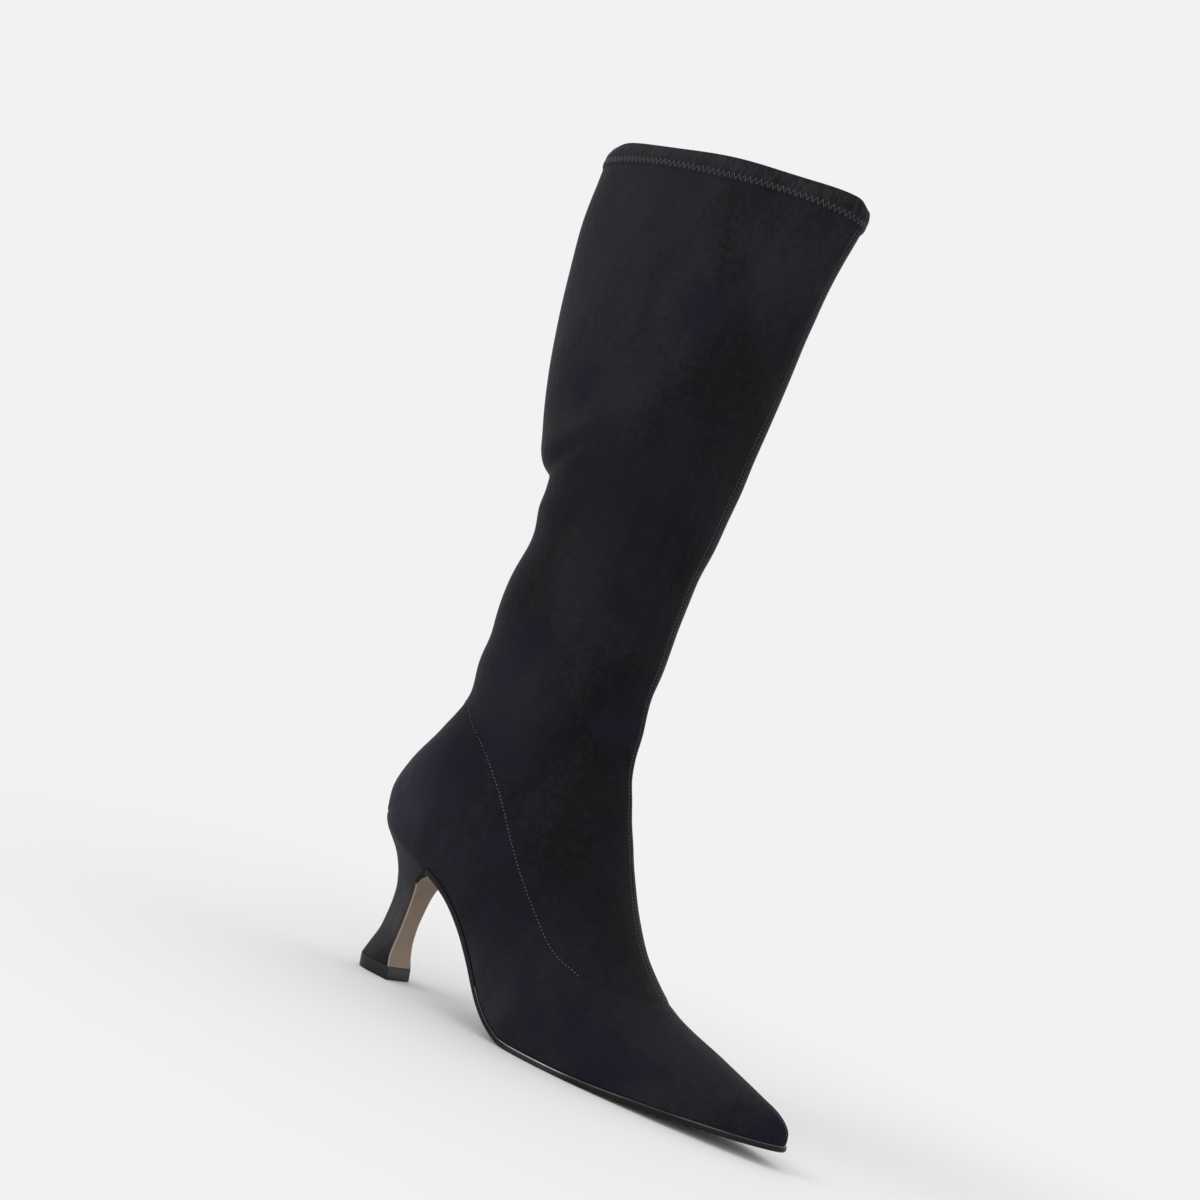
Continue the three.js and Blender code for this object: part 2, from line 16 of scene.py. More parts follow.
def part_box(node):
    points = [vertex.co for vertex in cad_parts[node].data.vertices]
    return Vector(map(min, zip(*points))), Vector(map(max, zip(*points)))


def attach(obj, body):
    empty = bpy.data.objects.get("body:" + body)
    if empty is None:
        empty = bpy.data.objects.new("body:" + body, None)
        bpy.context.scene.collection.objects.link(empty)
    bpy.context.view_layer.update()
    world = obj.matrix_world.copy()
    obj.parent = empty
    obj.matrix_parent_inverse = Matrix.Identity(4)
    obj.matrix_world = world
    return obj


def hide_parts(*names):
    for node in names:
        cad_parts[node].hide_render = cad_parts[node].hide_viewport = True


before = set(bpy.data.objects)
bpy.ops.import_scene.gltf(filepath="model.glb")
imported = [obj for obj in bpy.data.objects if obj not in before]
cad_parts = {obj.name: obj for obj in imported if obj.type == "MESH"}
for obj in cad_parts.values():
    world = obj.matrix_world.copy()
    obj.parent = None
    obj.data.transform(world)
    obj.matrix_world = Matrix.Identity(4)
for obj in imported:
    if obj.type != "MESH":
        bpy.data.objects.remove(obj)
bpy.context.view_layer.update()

# Sizes of the last and the leg
FOOT_LENGTH = 266.0
BALL_WIDTH = 74.5
CONE_HEIGHT = 93.0
HEEL_RISE = 73.0
TOE_SPRING = 8.0
LEG_HEIGHT = 283.0
LEG_DEPTH = 158.0
LEG_WIDTH = 72.0
WALL = 2.0
HEM_HEIGHT = 12.0
HEM_STEP = 0.6
SOLE_THICKNESS = 3.0
SOLE_EDGE = 0.8
INSOLE_THICKNESS = 2.0
CLEARANCE = 0.3
SEAT_LENGTH = 48.5
LIFT_HEIGHT = 6.3
LIFT_LEAN = 1.5
FACING_THICKNESS = 1.2
ZIP_BOTTOM = 110.0
ZIP_BELOW_COLLAR = 14.0
ZIP_X = 57.5
ZIP_LEAN = -4.0
SLOT_WIDTH = 7.0

SEAT_TUCK = 1.5

# Camera: its turn from the outer side, tilt and roll, and the point that it looks at
TURN, TILT, ROLL = math.radians(29.1), math.radians(-3.9), math.radians(21.3)
DISTANCE = 1000.0
FOCAL_PIXELS = 1973.0
IMAGE_PIXELS = 1200.0
TARGET = np.array([93.5, 0.0, 230.0])
TARGET_PIXEL = (645.0, 593.0)

KNEE_X = 0.435 * FOOT_LENGTH
SEAT_Z = SOLE_THICKNESS + HEEL_RISE
ANKLE_Z = SEAT_Z + CONE_HEIGHT
COLLAR_Z = ANKLE_Z + LEG_HEIGHT
ZIP_TOP = COLLAR_Z - ZIP_BELOW_COLLAR

# Feather line: share of the foot's length, of the heel's rise, of the toe spring
FEATHER = [
    (-0.02, 1.0, 0),
    (0.006, 1.0, 0),
    (0.051, 0.966, 0),
    (0.107, 0.904, 0),
    (0.164, 0.829, 0),
    (0.239, 0.719, 0),
    (0.314, 0.527, 0),
    (0.352, 0.388, 0),
    (0.389, 0.241, 0),
    (0.419, 0.137, 0),
    (0.45, 0.05, 0),
    (0.475, 0.008, 0),
    (0.5, 0, 0),
    (0.6, 0, 0),
    (0.65, 0, 0.05),
    (0.7, 0, 0.14),
    (0.75, 0, 0.26),
    (0.812, 0, 0.41),
    (0.868, 0, 0.56),
    (0.942, 0, 0.78),
    (1.0, 0, 1.0),
    (1.04, 0, 1.17),
]

# Foot: top x, lift, height; bottom x, height over the feather line; belly; outer, inner, middle; powers
FOOT = [
    (1.0, 0.0, 0.122, 1.0, 0.016, 0.6, 0.007, 0.007, 0.028, 2.0, 2.0),
    (0.991, 0.0, 0.17, 0.994, -0.054, 0.6, 0.064, 0.064, 0.028, 2.0, 2.2),
    (0.968, 0.0, 0.215, 0.975, -0.091, 0.62, 0.126, 0.126, 0.028, 2.1, 2.4),
    (0.921, 0.0, 0.259, 0.93, -0.098, 0.66, 0.216, 0.216, 0.026, 2.2, 2.6),
    (0.829, 0.0, 0.339, 0.84, -0.098, 0.7, 0.342, 0.336, 0.02, 2.2, 2.8),
    (0.705, 0.04, 0.426, 0.727, -0.091, 0.74, 0.456, 0.436, 0.011, 2.0, 2.8),
    (0.626, 0.1, 0.561, 0.615, -0.091, 0.78, 0.51, 0.49, 0, 1.9, 2.8),
    (0.577, 0.25, 0.632, 0.51, -0.086, 0.8, 0.517, 0.483, 0, 1.9, 2.8),
    (0.538, 0.4, 0.714, 0.416, -0.123, 0.8, 0.497, 0.45, 0, 1.9, 2.6),
    (0.506, 0.55, 0.773, 0.329, -0.145, 0.78, 0.456, 0.416, 0, 1.9, 2.5),
    (0.479, 0.7, 0.848, 0.239, -0.124, 0.76, 0.43, 0.403, 0, 1.9, 2.4),
    (0.46, 0.8, 0.931, 0.138, -0.13, 0.72, 0.409, 0.403, 0, 1.9, 2.3),
    (0.453, 0.9, 0.976, 0.035, -0.111, 0.66, 0.403, 0.403, 0, 1.9, 2.2),
    (0.449, 1.0, 1.0, -0.002, 0.108, 0.62, 0.409, 0.409, 0, 1.9, 2.1),
    (0.446, 1.0, 1.108, 0.009, 0.292, 0.58, 0.416, 0.416, 0, 2.0, 2.0),
]

# Leg: front x, front z, back x, back z, belly, half width
LEG = [
    (0.013, 0.074, -0.649, -0.159, 0.54, 0.431),
    (0.006, 0.124, -0.598, -0.085, 0.52, 0.438),
    (0.003, 0.187, -0.603, 0.032, 0.5, 0.444),
    (0.009, 0.269, -0.609, 0.159, 0.5, 0.458),
    (0.019, 0.343, -0.595, 0.261, 0.5, 0.465),
    (0.025, 0.392, -0.608, 0.339, 0.5, 0.472),
    (0.035, 0.452, -0.69, 0.413, 0.5, 0.486),
    (0.044, 0.534, -0.756, 0.512, 0.5, 0.5),
    (0.057, 0.675, -0.823, 0.661, 0.5, 0.5),
    (0.07, 0.816, -0.87, 0.816, 0.5, 0.486),
    (0.098, 0.929, -0.877, 0.922, 0.5, 0.479),
    (0.12, 1.0, -0.88, 0.996, 0.5, 0.472),
]

# Heel: height share of the block, back and breast as shares of the seat's length, width share,
# fullness of the back
HEEL = [
    (0.0, 0.314, 0.816, 0.425, 0.62),
    (0.1, 0.354, 0.775, 0.385, 0.7),
    (0.25, 0.405, 0.755, 0.313, 0.8),
    (0.4, 0.411, 0.751, 0.285, 0.9),
    (0.52, 0.398, 0.755, 0.3, 1.0),
    (0.64, 0.346, 0.759, 0.33, 1.0),
    (0.74, 0.266, 0.768, 0.38, 1.0),
    (0.82, 0.187, 0.785, 0.49, 1.0),
    (0.9, 0.085, 0.86, 0.68, 1.0),
    (0.94, 0.045, 0.93, 0.84, 1.0),
    (0.97, 0.022, 0.975, 0.945, 1.0),
    (1.0, 0.0, 1.0, 1.0, 1.0),
]


def table_curve(places, rows, steady=False):
    """Curve through the rows of a table; a steady one never swings past a row."""
    places = np.asarray(places, float)
    rows = np.asarray(rows, float)
    spans = np.diff(places)[:, None]
    rises = np.diff(rows, axis=0) / spans
    slopes = np.vstack([rises[:1], np.zeros((len(rows) - 2, rows.shape[1])), rises[-1:]])
    before, after = spans[:-1], spans[1:]
    first, second = rises[:-1], rises[1:]
    if steady:
        same = first * second > 0
        shares = (2 * after + before) / np.where(same, first, 1)
        shares += (after + 2 * before) / np.where(same, second, 1)
        slopes[1:-1] = np.where(same, 3 * (before + after) / np.where(same, shares, 1), 0)
    else:
        slopes[1:-1] = (first * after + second * before) / (before + after)

    def curve(place):
        place = np.asarray(place, float)
        i = np.clip(np.searchsorted(places, place, side="left") - 1, 0, len(places) - 2)
        span = spans[i]
        q = np.clip((place[..., None] - places[i][..., None]) / span, 0, 1)
        return (
            rows[i] * (1 + 2 * q) * (1 - q) ** 2
            + slopes[i] * span * q * (1 - q) ** 2
            + rows[i + 1] * q * q * (3 - 2 * q)
            + slopes[i + 1] * span * q * q * (q - 1)
        )

    return curve


feather_curve = table_curve([row[0] for row in FEATHER], FEATHER, steady=True)
heel_curve = table_curve([row[0] for row in HEEL], HEEL, steady=True)


def feather_z(x):
    row = feather_curve(np.asarray(x, float) / FOOT_LENGTH)
    return SOLE_THICKNESS + row[..., 1] * HEEL_RISE + row[..., 2] * TOE_SPRING


def foot_section(row):
    top_x, lift, height, bottom_x, under, belly, outer, inner, middle, top_power, bottom_power = row
    return (
        top_x * FOOT_LENGTH,
        SOLE_THICKNESS + lift * HEEL_RISE + height * CONE_HEIGHT,
        bottom_x * FOOT_LENGTH,
        float(feather_z(bottom_x * FOOT_LENGTH)) + under * CONE_HEIGHT,
        belly,
        outer * BALL_WIDTH,
        inner * BALL_WIDTH,
        middle * BALL_WIDTH,
        top_power,
        bottom_power,
    )


def leg_section(row):
    front_x, front_z, back_x, back_z, belly, half = row
    return (
        KNEE_X + front_x * LEG_DEPTH,
        ANKLE_Z + front_z * LEG_HEIGHT,
        KNEE_X + back_x * LEG_DEPTH,
        ANKLE_Z + back_z * LEG_HEIGHT,
        belly,
        half * LEG_WIDTH,
        half * LEG_WIDTH,
        0.0,
        2.0,
        2.0,
    )


SECTIONS = np.array([foot_section(row) for row in FOOT] + [leg_section(row) for row in LEG])
steps = np.diff(SECTIONS[:, :4], axis=0)
TRAVELS = np.hypot(steps[:, 0], steps[:, 1]) + np.hypot(steps[:, 2], steps[:, 3])
PLACES = np.concatenate([[0], np.cumsum(np.sqrt(TRAVELS))])
COLLAR_PLACE = PLACES[-1]
section_curve = table_curve(PLACES, SECTIONS)


def face(place, turn):
    """Points of the upper's outer face: place along the boot (n,), turn round it (n, m)."""
    row = section_curve(place)[:, None, :]
    top_x, top_z, bottom_x, bottom_z, belly, *widths = np.moveaxis(row, -1, 0)
    outer, inner, middle, top_power, bottom_power = widths
    c, s = np.cos(turn * 2 * np.pi), np.sin(turn * 2 * np.pi)
    power = 2 / np.where(c >= 0, top_power, bottom_power)
    bend = np.abs(c) ** power
    along = np.where(c >= 0, belly * (1 - bend), belly + (1 - belly) * bend)
    across = np.abs(s) ** power * np.where(s >= 0, -outer, inner)
    x = top_x + (bottom_x - top_x) * along
    return np.stack([x, middle + across, top_z + (bottom_z - top_z) * along], -1)


# The last's origin in the model's frame, from the toe and the outer side of the joints
upper_low, upper_high = (np.array(v) * 1000 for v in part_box("upper"))
outer_side = face(np.linspace(0, COLLAR_PLACE, 2000), np.array([[0.25]]))[..., 1].min()
LAST_ORIGIN = np.array([upper_high[0] - FOOT_LENGTH, upper_low[1] - outer_side, 0.0])


def face_normal(place, turn):
    step = 0.006
    around = face(place, turn + step) - face(place, turn - step)
    along = face(np.minimum(place + step, COLLAR_PLACE), turn) - face(np.maximum(place - step, 0), turn)
    normal = np.cross(along, around)
    normal /= np.maximum(np.linalg.norm(normal, axis=-1, keepdims=True), 1e-9)
    normal[place < step] = (1, 0, 0)
    return normal


def feather_turn(place, side):
    """The turn at which each ring meets the feather line on one side, or 0.5 where the ring is whole."""
    row = section_curve(place)
    cut = row[:, 3] < feather_z(row[:, 2])
    low, high = np.full(len(place), 0.02), np.full(len(place), 0.5)
    for _ in range(26):
        middle = (low + high) / 2
        p = face(place, (side * middle)[:, None])[:, 0]
        over = p[:, 2] > feather_z(p[:, 0])
        low, high = np.where(over, middle, low), np.where(over, high, middle)
    return np.where(cut, low, 0.5)


def even_places(step, start=0.0, end=COLLAR_PLACE):
    """Places along the boot about a step apart."""
    out = [0.0]
    for i, travel in enumerate(TRAVELS):
        count = max(2, math.ceil(travel / 2 / step))
        out += list(PLACES[i] + (PLACES[i + 1] - PLACES[i]) * np.arange(1, count + 1) / count)
    out = np.array(out)
    return out[(out >= start) & (out <= end)]


def place_at_height(front_z):
    """Place on the leg whose front is at a height."""
    places = np.linspace(PLACES[len(FOOT)], COLLAR_PLACE, 400)
    return float(np.interp(front_z, section_curve(places)[:, 1], places))


def bell(value, centre, width):
    """Soft hump of height 1."""
    return np.exp(-(((value - centre) / width) ** 2))


def ease(value, low, high):
    q = np.clip((value - low) / (high - low), 0, 1)
    return q * q * (3 - 2 * q)


def distance_to_path(x, z, path):
    """Distance in the side plane to a line through points, and the side it lies on."""
    best = np.full(x.shape, 1e9)
    sign = np.ones(x.shape)
    for (ax, az), (bx, bz) in zip(path[:-1], path[1:]):
        dx, dz = bx - ax, bz - az
        q = np.clip(((x - ax) * dx + (z - az) * dz) / (dx * dx + dz * dz), 0, 1)
        gap = np.hypot(x - ax - q * dx, z - az - q * dz)
        side = np.sign((x - ax) * dz - (z - az) * dx)
        sign = np.where(gap < best, side, sign)
        best = np.minimum(best, gap)
    return best, sign


# Seam that joins the foot's panel to the leg, from the back of the ankle to the vamp: x, z
FOOT_SEAM = [
    (17.5, 146),
    (37.5, 142),
    (52.5, 131),
    (72.5, 111),
    (93.5, 87.5),
    (117.5, 65),
    (137.5, 50.5),
    (152, 46),
    (168, 46.5),
    (189, 46.5),
]

# Creases, listed: start x z, end x z, width, depth (below zero a trough), side (outer -1, both 0, inner 1)
CREASES = [
    ((8, 262), (50, 292), 5.0, -1.9, 0),
    ((12, 276), (76, 316), 11.0, 1.9, 0),
    ((6, 250), (44, 258), 8.0, 1.5, 0),
    ((30, 296), (88, 352), 13.0, -1.0, -1),
    ((20, 232), (66, 250), 10.0, -0.9, -1),
    ((22, 206), (70, 214), 14.0, 0.9, 0),
    ((20, 184), (58, 172), 8.0, -0.8, 0),
    ((20, 168), (64, 160), 9.0, 0.8, 0),
    ((18, 152), (50, 146), 7.0, -0.8, 0),
    ((122, 186), (80, 158), 9.0, -1.0, 0),
    ((122, 166), (86, 144), 9.0, 1.0, 0),
    ((128, 142), (96, 124), 8.0, -0.7, 0),
    ((140, 112), (106, 100), 9.0, 0.6, 0),
    ((128, 320), (84, 268), 16.0, -0.9, -1),
    ((132, 400), (92, 340), 18.0, 0.9, -1),
    ((10, 330), (40, 400), 14.0, 0.9, -1),
    ((50, 380), (70, 440), 16.0, -0.8, -1),
    ((104, 410), (112, 448), 12.0, 0.7, -1),
    ((118, 250), (84, 232), 11.0, -0.9, 1),
    ((112, 300), (70, 262), 14.0, 1.1, 1),
    ((22, 330), (50, 300), 12.0, 1.0, 1),
    ((120, 380), (80, 330), 15.0, -0.9, 1),
]


def hand_creases(p):
    x, y, z = p[..., 0], p[..., 1], p[..., 2]
    out = np.zeros(x.shape)
    for start, end, width, depth, side in CREASES:
        dx, dz = end[0] - start[0], end[1] - start[1]
        q = ((x - start[0]) * dx + (z - start[1]) * dz) / (dx * dx + dz * dz)
        gap = np.hypot(x - start[0] - np.clip(q, 0, 1) * dx, z - start[1] - np.clip(q, 0, 1) * dz)
        fade = ease(q, -0.35, 0.2) * (1 - ease(q, 0.7, 1.3))
        where = 1.0 if side == 0 else ease(side * y, -6, 10)
        out += depth * np.exp(-((gap / width) ** 2)) * fade * where
    return out


def slow_waves(p):
    """Shallow swells of stretch cloth over a hollow leg."""
    x, y, z = p[..., 0] / 31, p[..., 1] / 27, p[..., 2] / 43
    return (
        np.sin(1.7 * x + 2.1 * z + 0.6) * np.sin(1.3 * y + 1.1 * z)
        + 0.6 * np.sin(3.1 * x - 2.3 * z + 1.9 * y + 2.0)
        + 0.4 * np.sin(4.3 * z + 2.7 * y - 1.1 * x + 4.0)
    )


def seam_relief(place, turn, p):
    """Laps and grooves of the seams, in millimetres outwards."""
    x, z = p[..., 0], p[..., 2]
    gap, side = distance_to_path(x, z, FOOT_SEAM)
    near = 1 - ease(x, 180, 189)
    lap = 0.35 * (ease(-side * gap, -0.9, 0.9) - 0.5) * (1 - ease(gap, 5, 16))
    out = near * (lap - 0.45 * bell(gap, 0, 0.9))
    middle = section_curve(place)[:, 7:8]
    front = np.where(np.abs(turn) < 0.25, np.abs(p[..., 1] - middle), 1e3)
    return out - 0.22 * bell(front, 0, 0.7) + 0.08 * bell(front, 2.2, 1.6)


def seat_tuck(x, over):
    """How far the wall tucks in just over the heel seat."""
    return SEAT_TUCK * (1 - ease(x, SEAT_LENGTH - 7, SEAT_LENGTH)) * np.clip(1 - over / 6, 0, 1) ** 2


def relief(place, turn, p):
    """Creases, swells and seams, fading out on the feather line, where the seat tucks the edge in."""
    x, z = p[..., 0], p[..., 2]
    swells = 0.4 * slow_waves(p) * ease(z, 90, 200) * (1 - ease(z, 425, 445))
    over = z - feather_z(x)
    depth = (hand_creases(p) + swells + seam_relief(place, turn, p)) * ease(over, 0, 7)
    return depth - seat_tuck(x, over)


def to_model(points):
    return (np.asarray(points, float).reshape(-1, 3) + LAST_ORIGIN) / 1000


def add_object(name, data):
    made = bpy.data.objects.new(name, data)
    bpy.context.scene.collection.objects.link(made)
    return made


def directions(path):
    """Unit steps along a path in a plane."""
    ahead = np.gradient(path, axis=0)
    return ahead / np.linalg.norm(ahead, axis=1, keepdims=True)


def run_length(path):
    """Distance along a path in a plane, at each of its points."""
    return np.concatenate([[0], np.cumsum(np.hypot(*np.diff(path, axis=0).T))])


def make_piece(name, points, faces, material, weld=0.02):
    """Mesh object from points on the last and faces, its place in its mesh."""
    mesh = bpy.data.meshes.new(name)
    mesh.from_pydata(to_model(points).tolist(), [], faces)
    piece = add_object(name, mesh)
    if weld:
        bm = bmesh.new()
        bm.from_mesh(mesh)
        bmesh.ops.remove_doubles(bm, verts=bm.verts, dist=weld / 1000)
        bmesh.ops.dissolve_degenerate(bm, edges=bm.edges, dist=weld / 4000)
        bm.to_mesh(mesh)
        bm.free()
    shade_smooth(mesh)
    mesh.materials.append(material)
    mesh.update()
    return piece


def shade_smooth(mesh):
    mesh.polygons.foreach_set("use_smooth", [True] * len(mesh.polygons))


def grid_faces(rows, columns, closed=False, flip=False):
    """Faces between rows of points; flip turns them over."""
    faces = []
    for i in range(rows - 1):
        for j in range(columns if closed else columns - 1):
            k = (j + 1) % columns
            quad = (i * columns + j, i * columns + k, (i + 1) * columns + k, (i + 1) * columns + j)
            faces.append(quad[::-1] if flip else quad)
    return faces


def end_caps(rows, columns, flip=False):
    """Faces over the first and the last of some closed rows."""
    last = (rows - 1) * columns
    first, end = tuple(range(columns)), tuple(range(last, last + columns))
    return [first, end[::-1]] if flip else [first[::-1], end]


def folded_caps(rows, columns, flip=False):
    """The same over long outlines, with faces that run from side to side."""
    faces = []
    for base, turned in ((0, not flip), ((rows - 1) * columns, flip)):
        for i in range(columns // 2):
            quad = (base + i, base + i + 1, base + columns - 2 - i, base + columns - 1 - i)
            quad = tuple(dict.fromkeys(quad))
            faces.append(quad[::-1] if turned else quad)
    return faces


def wear(piece, body, slot, *nodes):
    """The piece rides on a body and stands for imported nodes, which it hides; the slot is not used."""
    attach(piece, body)
    if nodes:
        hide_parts(*nodes)
    return piece


# Shader maths: a socket with operators, and one method for any other node
class Value:
    def __init__(self, tree, socket):
        self.tree = tree
        self.socket = socket

    def maths(self, operation, *others):
        inputs = dict(enumerate((self, *others)))
        return add_node(self.tree, "ShaderNodeMath", {"operation": operation}, inputs)

    def __add__(self, other):
        return self.maths("ADD", other)

    __radd__ = __add__

    def __mul__(self, other):
        return self.maths("MULTIPLY", other)

    __rmul__ = __mul__

    def __rsub__(self, other):
        return self * -1 + other

    def between(self, low, high):
        """0 below low, 1 over high, smooth between."""
        smooth = {"interpolation_type": "SMOOTHSTEP"}
        inputs = {"Value": self, "From Min": low, "From Max": high}
        return add_node(self.tree, "ShaderNodeMapRange", smooth, inputs, "Result")


def feed(tree, socket, value):
    if isinstance(value, Value):
        tree.links.new(value.socket, socket)
    else:
        socket.default_value = value


def add_node(tree, kind, settings=None, inputs=None, out=0):
    """Node with its settings, then the values or links of its sockets."""
    node = tree.nodes.new(kind)
    for key, value in (settings or {}).items():
        setattr(node, key, value)
    for key, value in (inputs or {}).items():
        feed(tree, node.inputs[key], value)
    return Value(tree, node.outputs[out])


class Finish:
    """A material with its Principled shader and a method for nodes."""

    def __init__(self, name, **shader):
        self.material = bpy.data.materials.new(name)
        self.material.use_nodes = True
        self.tree = self.material.node_tree
        self.tree.nodes.clear()
        self.output = self.tree.nodes.new("ShaderNodeOutputMaterial")
        self.shader = self.tree.nodes.new("ShaderNodeBsdfPrincipled")
        self.tree.links.new(self.shader.outputs[0], self.output.inputs["Surface"])
        for key, value in shader.items():
            self.shader.inputs[key.replace("_", " ")].default_value = value
        self.place = self.node("ShaderNodeTexCoord", out="Object")

    def node(self, kind, settings=None, out=0, **inputs):
        inputs = {key.replace("_", " "): value for key, value in inputs.items()}
        return add_node(self.tree, kind, settings, inputs, out)

    def noise(self, size, detail=3.0, roughness=0.5, vector=None):
        """Noise with features about a size in millimetres."""
        return self.node(
            "ShaderNodeTexNoise",
            {"noise_dimensions": "3D"},
            Vector=vector or self.place,
            Scale=1000 / size,
            Detail=detail,
            Roughness=roughness,
        )

    def near(self, point, radius):
        """1 at a point on the last, fading to 0 at a radius in millimetres."""
        centre = tuple((np.array(point) + LAST_ORIGIN) / 1000)
        inputs = {0: self.place, 1: centre}
        away = add_node(self.tree, "ShaderNodeVectorMath", {"operation": "SUBTRACT"}, inputs)
        return 1 - self.length(away).between(0.15 * radius / 1000, radius / 1000)

    def length(self, vector):
        return self.node("ShaderNodeVectorMath", {"operation": "LENGTH"}, out="Value", Vector=vector)

    def stretched(self, x, y, z):
        return self.node("ShaderNodeMapping", Vector=self.place, Scale=(x, y, z))

    def colours(self, factor, first, second):
        inputs = {6: first, 7: second}
        inputs = {i: tint if isinstance(tint, Value) else (*tint, 1.0) for i, tint in inputs.items()}
        return add_node(self.tree, "ShaderNodeMix", {"data_type": "RGBA"}, {0: factor, **inputs}, 2)

    def bump(self, height, depth, strength=1.0, onto=None):
        """Bump of a depth in millimetres."""
        under = {} if onto is None else {"Normal": onto}
        return self.node("ShaderNodeBump", Height=height, Distance=depth / 1000, Strength=strength, **under)

    def set(self, **sockets):
        for key, value in sockets.items():
            feed(self.tree, self.shader.inputs[key.replace("_", " ")], value)
        return self.material


# Patches of painted light and shade, partly nap tone: painted shade down the shin's front and over the
# instep, painted light at the heel, bluer nap in places; point on the last, radius, share, colour
NAP_TONE_AND_PAINTED_LIGHT_PATCHES = [
    ((10, -22, 92), 56, 0.95, (0.032, 0.034, 0.05)),
    ((60, -34, 150), 40, 0.5, (0.022, 0.022, 0.03)),
    ((100, -38, 14), 40, 0.7, (0.042, 0.042, 0.049)),
    ((62, -34, 76), 40, 0.5, (0.018, 0.018, 0.034)),
    ((110, -36, 52), 42, 0.7, (0.012, 0.011, 0.024)),
    ((150, -36, 30), 40, 0.55, (0.012, 0.011, 0.022)),
    ((128, 0, 250), 90, 0.75, (0.0042, 0.0042, 0.0058)),
    ((132, 0, 350), 70, 0.5, (0.005, 0.005, 0.0066)),
    ((140, 10, 120), 60, 0.6, (0.0045, 0.0045, 0.006)),
    ((0, -30, 350), 60, 0.45, (0.014, 0.015, 0.026)),
    ((70, -36, 270), 75, 0.5, (0.009, 0.009, 0.0115)),
    ((158, -16, 62), 60, 0.75, (0.006, 0.006, 0.0085)),
    ((16, 0, 34), 44, 1.0, (0.095, 0.095, 0.102)),
    ((40, -40, 450), 60, 0.4, (0.027, 0.027, 0.03)),
]


SUEDE_BRIGHTNESS = 0.8


def suede_finish():
    """Black nap: brushed patches, bluish in places, a fine pile and a soft sheen at grazing angles."""
    f = Finish(
        "black_suede",
        Roughness=0.92,
        Sheen_Weight=0.1,
        Sheen_Roughness=0.35,
        Sheen_Tint=(0.75, 0.76, 0.8, 1),
        Specular_IOR_Level=0.12,
    )
    patches = f.noise(64, 2.5, 0.5, f.stretched(1, 1, 0.55)).between(0.36, 0.68)
    strokes = f.noise(11, 3.0, 0.6, f.stretched(1, 1, 0.3)).between(0.34, 0.7)
    mottle = f.noise(3.2, 3.0, 0.6).between(0.3, 0.72)
    pile = f.noise(0.75, 3.0, 0.7)
    tone = patches * 0.42 + strokes * 0.22 + mottle * 0.22 + pile * 0.3
    colour = f.colours(tone.between(0.12, 1.0), (0.0042, 0.0042, 0.0058), (0.0215, 0.021, 0.026))
    blue = f.noise(46, 2.0, 0.5).between(0.5, 0.68) * 0.75
    colour = f.colours(blue, colour, (0.0095, 0.009, 0.0195))
    # Painted light and shade: each patch lightens or darkens the suede's colour near a point
    for point, radius, share, tint in NAP_TONE_AND_PAINTED_LIGHT_PATCHES:
        colour = f.colours(f.near(point, radius) * share * (0.45 + strokes * 0.55), colour, tint)
    height = f.node("ShaderNodeSeparateXYZ", out="Z", Vector=f.place)
    hem_edge = COLLAR_Z - HEM_HEIGHT
    hem = height.between((hem_edge + 2) / 1000, (hem_edge + 5) / 1000)
    ribs = f.noise(1.7, 2.0, 0.5, f.stretched(1, 1, 0.12)).between(0.4, 0.66) * hem
    colour = f.colours(ribs * 0.6, colour, (0.034, 0.034, 0.037))
    flecks = f.noise(0.42, 2.0, 0.6).between(0.66, 0.76) * 0.55
    colour = f.colours(flecks, colour, (0.045, 0.044, 0.052))
    colour = f.node("ShaderNodeVectorMath", {"operation": "SCALE"}, Vector=colour, Scale=SUEDE_BRIGHTNESS)
    soft = f.bump(mottle + ribs, 0.25, 0.5)
    return f.set(Base_Color=colour, Roughness=0.84 + strokes * 0.14, Normal=f.bump(pile, 0.2, 0.8, soft))


def lining_finish():
    f = Finish("woven_lining", Roughness=0.9, Sheen_Weight=0.15)
    weave = f.noise(0.8, 2.0, 0.5, f.stretched(1, 1, 0.3))
    colour = f.colours(weave, (0.012, 0.0115, 0.014), (0.03, 0.029, 0.034))
    return f.set(Base_Color=colour, Normal=f.bump(weave, 0.15, 0.5))


# Painted highlight on the waxed edge, on the outer side of the joints
EDGE_PAINTED_HIGHLIGHT = (148, -37, 2)
PAINTED_HIGHLIGHT_REACH = 26


def black_edge_finish(name, shine, dark, light):
    """Inked sole edge with slight unevenness, waxed in patches, with a painted highlight near one point."""
    f = Finish(name, Coat_Roughness=0.07, Coat_IOR=1.5 + 0.4 * shine, Specular_IOR_Level=0.14 + 0.4 * shine)
    uneven = f.noise(9, 3.0)
    patchy = f.noise(26, 2.0).between(0.34, 0.62)
    colour = f.colours(uneven, dark, light)
    # Painted highlight: the colour turns pale grey near one point, in patches, scaled by the shine
    painted_highlight = f.near(EDGE_PAINTED_HIGHLIGHT, PAINTED_HIGHLIGHT_REACH) * (0.4 + patchy * 0.6) * shine
    colour = f.colours(painted_highlight, colour, (0.62, 0.62, 0.6))
    return f.set(
        Base_Color=colour,
        Coat_Weight=patchy * shine,
        Roughness=0.3 + uneven * 0.2,
        Normal=f.bump(uneven, 0.15, 0.3),
    )


def tan_finish(name, light, dark):
    """Smooth sole leather with pores and faint streaks."""
    f = Finish(name, Specular_IOR_Level=0.4)
    streaks = f.noise(11, 4.0, 0.6, f.stretched(0.35, 1, 1))
    pores = f.noise(0.7, 3.0, 0.6)
    colour = f.colours(streaks * 0.7 + pores * 0.3, dark, light)
    return f.set(Base_Color=colour, Roughness=0.5 + pores * 0.2, Normal=f.bump(pores, 0.05, 0.5))


